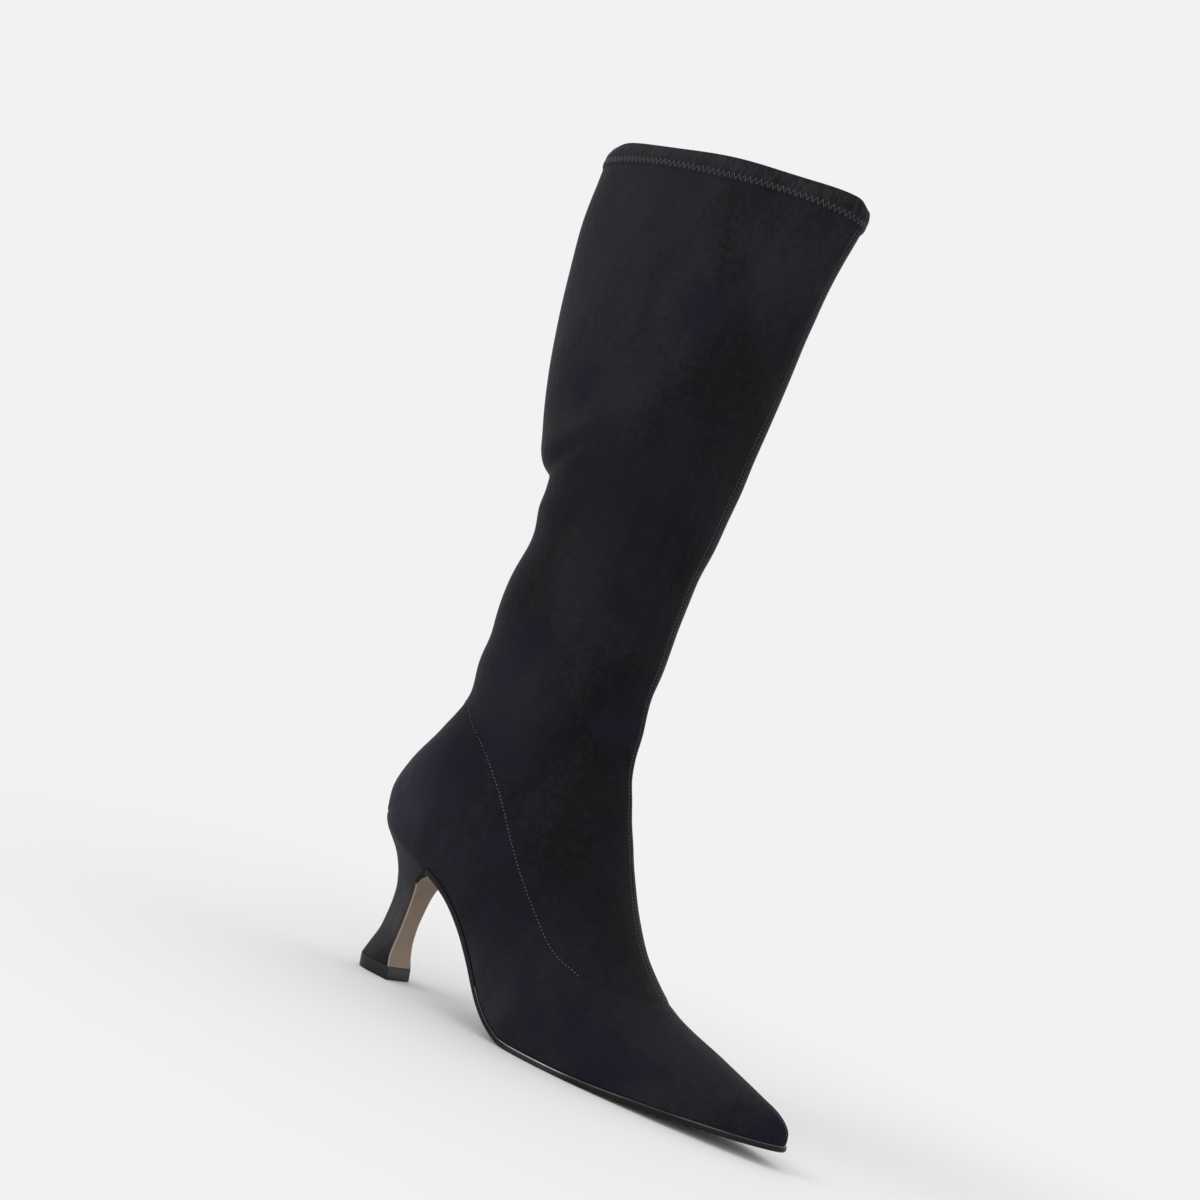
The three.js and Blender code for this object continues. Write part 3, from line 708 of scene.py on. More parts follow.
def lift_finish():
    f = Finish("hard_black_lift", Specular_IOR_Level=0.26)
    scuffs = f.noise(2.2, 4.0, 0.7)
    colour = f.colours(scuffs.between(0.55, 0.8), (0.012, 0.012, 0.014), (0.035, 0.035, 0.038))
    return f.set(Base_Color=colour, Roughness=0.24 + scuffs * 0.25, Normal=f.bump(scuffs, 0.05, 0.4))


def thread_finish(name, dark, light):
    f = Finish(name, Roughness=0.7, Sheen_Weight=0.3)
    twist = f.noise(0.5, 2.0)
    return f.set(Base_Color=f.colours(twist, dark, light))


def tape_finish():
    f = Finish("zip_tape", Roughness=0.85, Sheen_Weight=0.1)
    weave = f.noise(0.6, 2.0, 0.5, f.stretched(1, 1, 0.4))
    colour = f.colours(weave, (0.008, 0.008, 0.009), (0.02, 0.02, 0.022))
    return f.set(Base_Color=colour, Normal=f.bump(weave, 0.1, 0.5))


def teeth_finish():
    f = Finish("zip_teeth", Specular_IOR_Level=0.5)
    worn = f.noise(1.5, 3.0)
    colour = f.colours(worn, (0.016, 0.016, 0.018), (0.05, 0.05, 0.054))
    return f.set(Base_Color=colour, Roughness=0.35 + worn * 0.2)


def silver_finish():
    f = Finish("polished_silver", Metallic=1.0)
    marks = f.noise(1.2, 4.0, 0.7, f.stretched(1, 1, 0.25))
    colour = f.colours(marks, (0.62, 0.62, 0.64), (0.82, 0.82, 0.83))
    return f.set(Base_Color=colour, Roughness=0.14 + marks * 0.16, Normal=f.bump(marks, 0.02, 0.4))


SUEDE = suede_finish()
LINING = lining_finish()
# Both edge finishes carry the painted highlight: the bead's is strong, the plain edge's faint
BLACK_EDGE = black_edge_finish("black_sole_edge", 0.05, (0.005, 0.005, 0.006), (0.011, 0.011, 0.013))
EDGE_BEAD = black_edge_finish("waxed_edge_bead", 0.9, (0.02, 0.02, 0.022), (0.045, 0.045, 0.048))
TAN = tan_finish("tan_breast_leather", (0.4, 0.29, 0.215), (0.2, 0.146, 0.115))
TAN_SOLE = tan_finish("tan_sole_leather", (0.235, 0.19, 0.158), (0.16, 0.127, 0.106))
LIFT = lift_finish()
SEAM_THREAD = thread_finish("seam_thread", (0.05, 0.05, 0.075), (0.11, 0.11, 0.15))
FRONT_THREAD = thread_finish("front_thread", (0.018, 0.018, 0.024), (0.045, 0.045, 0.056))
HEM_THREAD = thread_finish("hem_thread", (0.035, 0.035, 0.042), (0.08, 0.08, 0.092))
TAPE = tape_finish()
TEETH = teeth_finish()
SILVER = silver_finish()

# Upper: the outer face down to the feather line, over the rim and down the turned hem inside.
# The rim curls in over its last millimetres. Rows past the last outer offset belong to the inside.
COLUMNS = 209
LINING_COLUMNS = 73
RIM_RADIUS = (HEM_STEP + WALL) / 2
RIM_CURL = 1.5
CURL_HEIGHT = 7.0
HEM_PLACE = place_at_height(COLLAR_Z - HEM_HEIGHT)
RIM_PLACE = place_at_height(COLLAR_Z - RIM_RADIUS)
CURL_PLACE = place_at_height(COLLAR_Z - CURL_HEIGHT)
LAST_OUTER_OFFSET = -0.7
RIM_ROW = -6


def upper_rows():
    """Place, offset from the face and rise of each ring."""
    rows = [(place, 0.0, 0.0) for place in even_places(1.8, 0, HEM_PLACE - 0.4)]
    rows += [(HEM_PLACE + q, HEM_STEP * float(ease(q, -0.25, 0.25)), 0.0) for q in np.linspace(-0.3, 0.3, 9)]
    hem = np.linspace(HEM_PLACE + 0.45, RIM_PLACE, 14)
    rows += [(place, HEM_STEP - rim_curl(place), 0.0) for place in hem]
    middle = (HEM_STEP - WALL) / 2 - RIM_CURL
    for angle in np.linspace(0, np.pi, 9)[1:]:
        rows.append((RIM_PLACE, middle + RIM_RADIUS * math.cos(angle), RIM_RADIUS * math.sin(angle)))
    rows += [(place, -WALL - rim_curl(place), 0.0) for place in np.linspace(RIM_PLACE, HEM_PLACE, 10)[1:]]
    rows.append((HEM_PLACE, -WALL + 0.5, 0.0))
    return np.array(rows)


def rim_curl(place):
    """The soft edge leans in over its last few millimetres."""
    return RIM_CURL * float(np.clip((place - CURL_PLACE) / (RIM_PLACE - CURL_PLACE), 0, 1)) ** 2


def ring_turns(place, columns):
    """Turns of each ring's columns, from the inner side's edge round the front to the outer side's."""
    u = np.linspace(-1, 1, columns)[None, :]
    outer, inner = feather_turn(place, 1)[:, None], feather_turn(place, -1)[:, None]
    return np.where(u >= 0, u * outer, u * inner)


def zip_x(z):
    return ZIP_X + ZIP_LEAN * (z - ZIP_BOTTOM) / (ZIP_TOP - ZIP_BOTTOM)


def shell_points():
    rows = upper_rows()
    turn = ring_turns(rows[:, 0], COLUMNS)
    base = face(rows[:, 0], turn)
    lift = np.where(rows[:, 1:2] > LAST_OUTER_OFFSET, relief(rows[:, 0], turn, base), 0)
    points = base + face_normal(rows[:, 0], turn) * (rows[:, 1:2] + lift)[..., None]
    points[..., 2] += rows[:, 2:3]
    return points - collar_dip(points)


def collar_dip(points):
    """The soft edge sags a little at the collar's two ends, seen from the camera's side."""
    across = points[..., 0] * math.cos(TURN) + points[..., 1] * math.sin(TURN)
    rim = across[RIM_ROW]
    near = 2.2 * bell(across, rim.max(), 3.6) + 2.2 * bell(across, rim.min(), 4.5)
    ripple = 0.5 * np.sin(across / 11 + 0.7) + 0.3 * np.sin(points[..., 1] / 9)
    dip = (near + ripple) * ease(points[..., 2], COLLAR_Z - 16, COLLAR_Z)
    return np.stack([np.zeros(dip.shape), np.zeros(dip.shape), dip], -1)


SHELL = shell_points()
shell_faces = grid_faces(len(SHELL), COLUMNS, flip=True)
flat_shell = SHELL.reshape(-1, 3)
outer_rows = int((upper_rows()[:, 1] > LAST_OUTER_OFFSET).sum())
surface = BVHTree.FromPolygons([Vector(p) for p in flat_shell], grid_faces(outer_rows, COLUMNS, flip=True))


def in_slot(quad):
    x, y, z = flat_shell[list(quad)].mean(axis=0)
    return y > 0 and abs(x - zip_x(z)) < SLOT_WIDTH / 2 and ZIP_BOTTOM < z < ZIP_TOP


toe_end = [tuple(range(COLUMNS))]
shell = make_piece("suede_upper", flat_shell, [q for q in shell_faces if not in_slot(q)] + toe_end, SUEDE)
wear(shell, "boot", "suede", "upper")


def lining_piece():
    places = even_places(5.0, 0.15, HEM_PLACE)
    turn = ring_turns(places, LINING_COLUMNS)
    points = face(places, turn) - face_normal(places, turn) * (WALL + 0.1)
    points[..., 2] = np.maximum(points[..., 2], feather_z(points[..., 0]) + 0.05)
    faces = grid_faces(len(places), LINING_COLUMNS)
    wear(make_piece("leg_lining", points.reshape(-1, 3), faces, LINING), "boot", "lining")


lining_piece()


def on_side(x, z, side):
    """Point and normal of the upper's face at a place of the side plane; side is 1 inner, -1 outer."""
    point, normal, _, _ = surface.ray_cast(Vector((x, side * 100, z)), Vector((0, -side, 0)))
    if point is None:
        point, normal, _, _ = surface.find_nearest(Vector((x, side * 12, z)))
    return np.array(point), np.array(normal) * (1 if normal.y * side > 0 else -1)


def inner_strip(name, path, profile, material):
    """Strip on the inner side's face along a path; profile gives distance across and height out."""
    points = []
    for (x, z), (dx, dz) in zip(path, directions(path)):
        for across, out in profile:
            point, normal = on_side(x + dz * across, z - dx * across, 1)
            points.append(point + normal * out)
    size = (len(path), len(profile))
    faces = grid_faces(*size, closed=True, flip=True) + end_caps(*size, flip=True)
    return make_piece(name, points, faces, material)


# What repeats along a path: stitches and zip teeth
def repeat_tree():
    """Copies of an item along a line of points, each standing on the line's "out" direction."""
    tree = bpy.data.node_groups.new("repeat_along_path", "GeometryNodeTree")
    tree.interface.new_socket("Geometry", in_out="OUTPUT", socket_type="NodeSocketGeometry")
    kinds = {
        "Geometry": "Geometry",
        "Item": "Object",
        "Spacing": "Float",
        "Turn Spread": "Float",
        "Seed": "Int",
        "Material": "Material",
    }
    for name, kind in kinds.items():
        tree.interface.new_socket(name, in_out="INPUT", socket_type="NodeSocket" + kind)
    start = tree.nodes.new("NodeGroupInput")
    given = {name: Value(tree, start.outputs[name]) for name in kinds}

    def node(kind, inputs, out=0, **settings):
        return add_node(tree, kind, settings, inputs, out)

    curve = node("GeometryNodeMeshToCurve", {"Mesh": given["Geometry"]})
    even = node("GeometryNodeResampleCurve", {"Curve": curve, "Length": given["Spacing"]}, mode="LENGTH")
    item = node("GeometryNodeObjectInfo", {"Object": given["Item"]}, "Geometry")
    out = node("GeometryNodeInputNamedAttribute", {"Name": "out"}, "Attribute", data_type="FLOAT_VECTOR")
    up = node("FunctionNodeAlignRotationToVector", {"Vector": out}, axis="Z")
    ahead = {"Rotation": up, "Vector": node("GeometryNodeInputTangent", {})}
    along = node("FunctionNodeAlignRotationToVector", ahead, axis="X", pivot_axis="Z")
    spread = {2: given["Turn Spread"] * -1, 3: given["Turn Spread"], "Seed": given["Seed"]}
    angle = node("FunctionNodeRandomValue", spread, 1, data_type="FLOAT")
    twist = node("FunctionNodeEulerToRotation", {0: node("ShaderNodeCombineXYZ", {"Z": angle})})
    turned = node("FunctionNodeRotateRotation", {0: along, 1: twist}, rotation_space="LOCAL")
    copies = node("GeometryNodeInstanceOnPoints", {"Points": even, "Instance": item, "Rotation": turned})
    real = node("GeometryNodeRealizeInstances", {0: copies})
    painted = node("GeometryNodeSetMaterial", {"Geometry": real, "Material": given["Material"]})
    feed(tree, tree.nodes.new("NodeGroupOutput").inputs[0], painted)
    return tree


REPEAT = repeat_tree()


def repeat_along(name, path, normals, item, spacing, material, spread=0.0, seed=1):
    """Copies of a small mesh at even spacing along a path on the boot, as one plain mesh."""
    mesh = bpy.data.meshes.new(name)
    count = len(path)
    mesh.from_pydata(to_model(path).tolist(), [(i, i + 1) for i in range(count - 1)], [])
    out = mesh.attributes.new("out", "FLOAT_VECTOR", "POINT")
    out.data.foreach_set("vector", np.asarray(normals, float).ravel())
    carrier = add_object(name, mesh)
    holder = add_object(name + "_item", item)
    modifier = carrier.modifiers.new("repeat", "NODES")
    modifier.node_group = REPEAT
    values = {
        "Item": holder,
        "Spacing": spacing / 1000,
        "Turn Spread": spread,
        "Seed": seed,
        "Material": material,
    }
    for socket in REPEAT.interface.items_tree:
        if socket.in_out == "INPUT" and socket.name in values:
            modifier[socket.identifier] = values[socket.name]
    depsgraph = bpy.context.evaluated_depsgraph_get()
    made = bpy.data.meshes.new_from_object(carrier.evaluated_get(depsgraph))
    carrier.modifiers.remove(modifier)
    bpy.data.objects.remove(carrier)
    bpy.data.objects.remove(holder)
    shade_smooth(made)
    return add_object(name, made)


def small_mesh(name, points, faces):
    """Mesh of one item, from millimetres about its own origin."""
    mesh = bpy.data.meshes.new(name)
    mesh.from_pydata([tuple(c / 1000 for c in p) for p in points], [], faces)
    return mesh


def stitch_item(length, thick):
    """A short round thread end to end along x, dipping at both ends."""
    ring = 6
    half = [(0.36, 0.85, -0.2), (0.5, 0.35, -0.9)]
    stations = [(-along, *rest) for along, *rest in half[::-1]] + [(0.0, 1.0, 0.25)] + half
    points = []
    for along, swell, rise in stations:
        for k in range(ring):
            a = 2 * math.pi * k / ring
            across, up = math.cos(a) * swell, math.sin(a) * swell + rise
            points.append((along * length, across * thick / 2, up * thick / 2))
    size = (len(stations), ring)
    return small_mesh("stitch", points, grid_faces(*size, closed=True) + end_caps(*size))


def zigzag_item(width, height, thick):
    """Two slanting stitches that make one tooth of a zigzag, along x."""
    parts = []
    for direction in (1, -1):
        slant = math.atan2(height * direction, width / 2)
        one = stitch_item(math.hypot(width / 2, height), thick)
        one.transform(Matrix.Translation((-direction * width / 4000, 0, 0)) @ Matrix.Rotation(slant, 4, "Z"))
        parts.append(one)
    first, second = parts
    points = [v.co * 1000 for m in parts for v in m.vertices]
    shift = len(first.vertices)
    faces = [tuple(p.vertices) for p in first.polygons]
    faces += [tuple(v + shift for v in p.vertices) for p in second.polygons]
    return small_mesh("zigzag", points, faces)


def side_path(path, side, step=1.0, sink=0.0):
    """Points and normals of the face along a path of the side plane."""
    far = run_length(path)
    curve = table_curve(far, path)
    samples = curve(np.linspace(0, far[-1], int(far[-1] / step)))
    found = [on_side(x, z, side) for x, z in samples]
    return [p - n * sink for p, n in found], [n for _, n in found]


def seam_stitches():
    item = stitch_item(1.05, 0.5)
    for side, word in ((-1, "outer"), (1, "inner")):
        path, normals = side_path(FOOT_SEAM[1:-2], side, sink=0.02)
        piece = repeat_along("seam_stitches_" + word, path, normals, item, 1.95, SEAM_THREAD, 0.12, 3)
        wear(piece, "boot", "suede")


ZIGZAG_PITCH = 3.0


def laid_on(points):
    """Nearest points of the upper's face."""
    found = [surface.find_nearest(Vector(p)) for p in points]
    return np.array([at for at, _, _, _ in found])


def hem_zigzag():
    """Zigzag over the hem's lower edge, all round the collar."""
    place = np.full(1, place_at_height(COLLAR_Z - HEM_HEIGHT + 2.2))
    turn = np.linspace(-0.5, 0.5, 320)[None, :]
    base, normal = face(place, turn)[0], face_normal(place, turn)[0]
    path = laid_on(base + normal * 2)
    item = zigzag_item(ZIGZAG_PITCH, 3.3, 0.3)
    piece = repeat_along("hem_zigzag", path + normal * 0.12, normal, item, ZIGZAG_PITCH, HEM_THREAD, 0.1, 5)
    wear(piece, "boot", "suede")


def front_stitches():
    """Two fine rows beside the seam down the front, from the toe to the hem."""
    places = np.concatenate([np.linspace(a, b, 8)[:-1] for a, b in zip(PLACES[:-1], PLACES[1:])])
    places = places[(places > 0.4 * PLACES[1]) & (places < HEM_PLACE - 0.6)]
    ridge = face(places, np.zeros((len(places), 1)))[:, 0]
    normal = face_normal(places, np.zeros((len(places), 1)))[:, 0]
    item = stitch_item(0.95, 0.4)
    for side, word in ((-1, "outer"), (1, "inner")):
        path = laid_on(ridge + normal * 1.5 + [0, side * 1.4, 0])
        piece = repeat_along("front_stitches_" + word, path, normal, item, 1.9, FRONT_THREAD, 0.12, 7)
        wear(piece, "boot", "suede")


seam_stitches()
hem_zigzag()
front_stitches()


# Zip: facings on both sides of the slot, tape, teeth and the facings' stitches
def zip_line(low, high, step=4.0):
    z = np.linspace(low, high, int((high - low) / step) + 2)
    return np.stack([zip_x(z), z], -1)


def facing(name, near, far):
    """Folded strip beside the slot: near and far are its edges, measured forward from the zip's middle."""
    t = 0.55
    sign = 1 if far > near else -1
    profile = [
        (near, -1.2),
        (near, 0.25),
        (near + sign * 0.3, t),
        ((near + far) / 2, t + 0.05),
        (far - sign * 0.5, t * 0.8),
        (far, 0.0),
        (far, -0.3),
        ((near + far) / 2, -0.3),
    ]
    if sign < 0:
        profile = profile[::-1]
    path = zip_line(ZIP_BOTTOM - 5, ZIP_TOP + 2)
    wear(inner_strip(name, path, profile, SUEDE), "boot", "suede", "upper")


def zip_parts():
    facing("zip_facing_front", 2.5, 11.5)
    facing("zip_facing_back", -2.5, -7.0)
    tape = [(-4.2, -1.3), (-0.5, -1.15), (0.5, -1.15), (4.2, -1.3), (4.2, -1.7), (-4.2, -1.7)]
    piece = inner_strip("zip_tape", zip_line(ZIP_BOTTOM, ZIP_TOP), tape, TAPE)
    wear(piece, "boot", "zip", "zip_chain")
    path, normals = side_path(zip_line(ZIP_BOTTOM + 2, ZIP_TOP - 5), 1, sink=0.75)
    teeth = repeat_along("zip_teeth", path, normals, tooth_item(), 1.5, TEETH)
    wear(teeth, "boot", "zip", "zip_chain")
    for name, across in (("front", 9.3), ("back", -5.2)):
        line = zip_line(ZIP_BOTTOM - 3, ZIP_TOP - 1)
        line[:, 0] += across
        path, normals = side_path(line, 1, sink=-0.48)
        item = stitch_item(1.9, 0.42)
        stitches = repeat_along("facing_stitches_" + name, path, normals, item, 2.6, SEAM_THREAD)
        wear(stitches, "boot", "suede")


def tooth_item():
    """One pair of meshed teeth across the chain; x runs along the zip."""
    points, faces = [], []
    for sign in (1, -1):
        box = [(-0.5, 0.0, -0.45), (0.5, 0.0, -0.45), (0.42, 1.9, -0.5), (-0.42, 1.9, -0.5)]
        top = [(-0.36, 0.1, 0.35), (0.36, 0.1, 0.35), (0.26, 1.6, 0.1), (-0.26, 1.6, 0.1)]
        start = len(points)
        offset = 0.36 * sign
        for x, y, z in box + top:
            points.append((x * 0.72 + offset, (y - 0.35) * sign, z))
        quads = [(3, 2, 1, 0), (4, 5, 6, 7), (0, 1, 5, 4), (1, 2, 6, 5), (2, 3, 7, 6), (3, 0, 4, 7)]
        faces += [tuple(start + i for i in (q if sign > 0 else q[::-1])) for q in quads]
    return small_mesh("tooth_pair", points, faces)


zip_parts()


# Edge of the upper on the feather line, seen from above
def feather_edge(side):
    places = np.linspace(0, COLLAR_PLACE, 900)
    row = section_curve(places)
    places = places[row[:, 3] < feather_z(row[:, 2])]
    turn = feather_turn(places, side)
    return face(places, (side * turn)[:, None])[:, 0, :2]


OUTER_EDGE, INNER_EDGE = feather_edge(1), feather_edge(-1)


def evenly(outline, count):
    far = run_length(outline)
    at = np.linspace(0, far[-1], count + 1)
    return np.stack([np.interp(at, far, outline[:, 0]), np.interp(at, far, outline[:, 1])], -1)


def feather_slope(x):
    return feather_z(x + 0.5) - feather_z(x - 0.5)


# Section of the sole's edge: inset from the edge and depth under the feather line
SOLE_SECTION = [
    (6.0, CLEARANCE),
    (1.1, CLEARANCE),
    (0.75, 0.12),
    (0.35, 0.08),
    (0.02, 0.28),
    (-0.04, 0.52),
    (0.07, 0.78),
    (0.02, 1.05),
    (0.0, 1.8),
    (0.22, 2.4),
    (0.75, 2.85),
    (1.4, SOLE_THICKNESS),
    (3.2, SOLE_THICKNESS + 0.02),
    (6.0, SOLE_THICKNESS + 0.02),
]
SOLE_POINTS = 230
BARE_DEPTH = SOLE_THICKNESS - 0.03
BEAD_START, BEAD_TOP, BEAD_BOTTOM = 104, 0.14, 0.6


def sole_piece():
    """Outsole: inked edge with a soft waxed bead, bare leather underneath."""
    start = SEAT_LENGTH + CLEARANCE
    sides = []
    for edge in (INNER_EDGE, OUTER_EDGE):
        part = edge[edge[:, 0] > start]
        sides.append(np.vstack([part, [start, part[-1, 1]]]))
    outline = evenly(np.vstack([sides[0][::-1], sides[1]]), SOLE_POINTS)
    ahead = directions(outline)
    away = np.stack([-ahead[:, 1], ahead[:, 0]], -1)
    rings = []
    for inset, deep in SOLE_SECTION:
        xy = outline + away * (SOLE_EDGE - inset)
        xy[:, 0] = np.maximum(xy[:, 0], start)
        slope = feather_slope(xy[:, 0])
        long = np.hypot(1, slope)
        high = feather_z(xy[:, 0]) - deep / long
        rings.append(np.column_stack([np.maximum(xy[:, 0] + slope / long * deep, start), xy[:, 1], high]))
    count = len(outline)
    ring_starts = [i * count for i in range(len(rings))]
    last = ring_starts[-1]
    faces = grid_faces(len(rings), count) + folded_caps(len(rings), count)
    faces.append(tuple(ring_starts))
    faces.append(tuple(i + count - 1 for i in ring_starts[::-1]))
    faces.append((0, last, last + count - 1, count - 1))
    piece = make_piece("outsole_leather", np.vstack(rings), faces, BLACK_EDGE, weld=0.004)
    piece.data.materials.append(TAN_SOLE)
    piece.data.materials.append(EDGE_BEAD)
    for polygon in piece.data.polygons:
        x, _, z = np.array(polygon.center) * 1000 - LAST_ORIGIN
        deep = (float(feather_z(x)) - z) * math.cos(math.atan(float(feather_slope(x))))
        bead = x > BEAD_START and BEAD_TOP < deep < BEAD_BOTTOM
        polygon.material_index = 1 if deep > BARE_DEPTH else 2 if bead else 0
    wear(piece, "boot", "sole_edge", "outsole")


sole_piece()


# Heel: the covered block under the seat, the leather down its breast and the lift
def seat_outline(count):
    sides = []
    for edge in (OUTER_EDGE, INNER_EDGE):
        part = edge[edge[:, 0] < SEAT_LENGTH]
        sides.append(np.vstack([[SEAT_LENGTH, part[0, 1]], part]))
    return evenly(np.vstack([sides[0], sides[1][::-1]]), count)


SEAT = seat_outline(96)
SEAT_BACK = SEAT[:, 0].min()
SEAT_HALF = np.abs(SEAT[:, 1]).max()
BLOCK_BOTTOM = LIFT_HEIGHT + CLEARANCE


def heel_ring(outline, share, cut_back=0.0, inset=0.0):
    _, back, breast, width, fullness = heel_curve(share)
    along = (outline[:, 0] - SEAT_BACK) / (SEAT_LENGTH - SEAT_BACK)
    back_x = SEAT_BACK + (SEAT_LENGTH - SEAT_BACK) * back
    breast_x = breast * SEAT_LENGTH - cut_back
    high = BLOCK_BOTTOM + share * (feather_z(outline[:, 0]) - BLOCK_BOTTOM)
    y = outline[:, 1]
    across = np.sign(y) * SEAT_HALF * (np.abs(y) / SEAT_HALF) ** fullness * width
    ring = np.column_stack([back_x + (breast_x - back_x) * along, across, high])
    tuck = inset * ease(share, 0.94, 1.0)
    ring[:, 0] += tuck * (1 - along)
    ring[:, 1] *= 1 - tuck / SEAT_HALF
    return ring


def ring_loft(name, rings, material, flip=False):
    size = (len(rings), len(rings[0]))
    faces = grid_faces(*size, closed=True, flip=flip) + end_caps(*size, flip=flip)
    return make_piece(name, np.vstack(rings), faces, material, weld=0)


def sharpen(piece, degrees, width):
    """Bevel of the corners sharper than an angle, then smooth shading between."""
    bevel = piece.modifiers.new("edge", "BEVEL")
    bevel.limit_method = "ANGLE"
    bevel.angle_limit = math.radians(degrees)
    bevel.width = width / 1000
    bevel.segments = 2
    bevel.harden_normals = True
    return piece


# Seat cover: height share and distance out from the block of its lower rings, then height over the feather
# line and distance out from the wall of its upper ones
COVER_BELOW = [(0.8, -0.12), (0.84, 0.02), (0.88, 0.08), (0.92, 0.1), (0.95, 0.1)]
COVER_ABOVE = [(2.6, 0.16), (4.0, 0.14), (5.5, 0.08), (7.0, 0.0), (8.5, -0.14)]


def wall_point(x, y, z, nx, ny):
    """The upper's face met from outside along a direction in plan."""
    hit = surface.ray_cast(Vector((x + 30 * nx, y + 30 * ny, z)), Vector((-nx, -ny, 0)))[0]
    return hit or surface.find_nearest(Vector((x, y, z)))[0]


def seat_cover():
    """Suede that runs from the counter over the edge of the seat on to the heel, rounding the corner."""
    outline = seat_outline(150)
    ahead = directions(outline)
    away = np.stack([ahead[:, 1], -ahead[:, 0]], -1)
    away *= np.sign((away * (outline - outline.mean(axis=0))).sum())
    knots = []
    for share, out in COVER_BELOW:
        ring = heel_ring(outline, share, FACING_THICKNESS)
        ring[:, :2] += away * out
        knots.append(ring)
    for over, out in COVER_ABOVE:
        ring = []
        for (x, y), (nx, ny) in zip(outline, away):
            z = float(feather_z(x)) + over
            hit = wall_point(x, y, z, nx, ny)
            lift = out + float(seat_tuck(x, over)) - 0.3 * float(ease(x, SEAT_LENGTH - 6, SEAT_LENGTH))
            ring.append((hit[0] + nx * lift, hit[1] + ny * lift, z))
        knots.append(np.array(ring))
    far = [0.0]
    for before, after in zip(knots[:-1], knots[1:]):
        far.append(far[-1] + float(np.linalg.norm(after - before, axis=1).mean()))
    curve = table_curve(far, np.stack(knots).reshape(len(knots), -1))
    rings = [curve(np.array(at)).reshape(-1, 3) for at in np.linspace(0, far[-1], 26)]
    return make_piece("seat_cover", np.vstack(rings), grid_faces(len(rings), len(outline), flip=True), SUEDE)


# Where the cover starts to wrap round the breast, where it starts to close over it, and over what share
WRAP_START, WRAP_CLOSE, WRAP_SPAN = 0.8, 0.9, 0.07
BREAST_COLUMNS = 9
BREAST_INSET = 0.985

# Lift: height and how wide each ring is against the block's lowest
LIFT_PROFILE = [
    (0.0, 0.97),
    (0.5, 1.0),
    (LIFT_HEIGHT - 0.4, 1.0),
    (LIFT_HEIGHT, 0.99),
    (LIFT_HEIGHT + 0.28, 0.97),
]


def tan_half(share):
    """Half the width of bare leather on the breast; the cover wraps round it at the top."""
    half = SEAT_HALF * min(float(heel_curve(share)[3]), float(heel_curve(WRAP_START)[3]))
    return half * math.sqrt(max(0.0, 1 - max(0.0, (share - WRAP_CLOSE) / WRAP_SPAN) ** 2))


def breast_piece(shares):
    """Leather down the breast, with the suede wrapped over its upper corners."""
    corners = np.array([[SEAT_LENGTH, SEAT[0, 1]], [SEAT_LENGTH, SEAT[-1, 1]]])
    rings = []
    for share in shares:
        front = heel_ring(corners, share)
        back = heel_ring(corners, share, FACING_THICKNESS - 0.05)
        bare = float(np.clip(tan_half(share) / np.abs(front[:, 1]).mean(), 0.03, 0.97))
        across = (np.array([-1, *np.linspace(-bare, bare, BREAST_COLUMNS), 1]) + 1)[:, None] / 2
        front = front[0] + (front[1] - front[0]) * across
        back = back[1] + (back[0] - back[1]) * across
        rings.append(np.vstack([front, back]) * [1, BREAST_INSET, 1])
    piece = sharpen(ring_loft("breast_leather", rings, TAN), 60, 0.2)
    piece.data.materials.append(SUEDE)
    for polygon in piece.data.polygons:
        _, y, z = np.array(polygon.center) * 1000 - LAST_ORIGIN
        share = (z - BLOCK_BOTTOM) / (float(feather_z(SEAT_LENGTH)) - BLOCK_BOTTOM)
        covered = abs(y) > BREAST_INSET * tan_half(share) + 0.05
        polygon.material_index = int(share > WRAP_START and covered)
    wear(piece, "boot", "tan_leather", "heel_breast")


def lift_piece():
    base = heel_ring(SEAT, 0.0)
    middle = base.mean(axis=0)[:2]
    rings = []
    for high, grow in LIFT_PROFILE:
        ring = base.copy()
        ring[:, :2] = middle + (ring[:, :2] - middle) * grow
        ring[:, 0] += LIFT_LEAN * (1 - high / LIFT_HEIGHT)
        ring[:, 2] = high
        rings.append(ring)
    wear(sharpen(ring_loft("heel_lift", rings, LIFT, flip=True), 50, 0.3), "boot", "lift", "top_lift")


def heel_pieces():
    shares = np.linspace(0, 1, 90)
    block = [heel_ring(SEAT, share, FACING_THICKNESS, SEAT_TUCK) for share in shares]
    piece = sharpen(ring_loft("covered_heel", block, SUEDE, flip=True), 50, 0.35)
    wear(piece, "boot", "suede", "heel")
    wear(seat_cover(), "boot", "suede", "heel")
    breast_piece(shares)
    lift_piece()


heel_pieces()


# Sock: inset from its edge and height over the feather line
SOCK_SECTION = [(0.3, 0.05), (0.0, 0.4), (0.0, 1.6), (0.35, 1.9), (2.0, INSOLE_THICKNESS)]
SOCK_BACK = 2.0
SOCK_HALF = 30.0


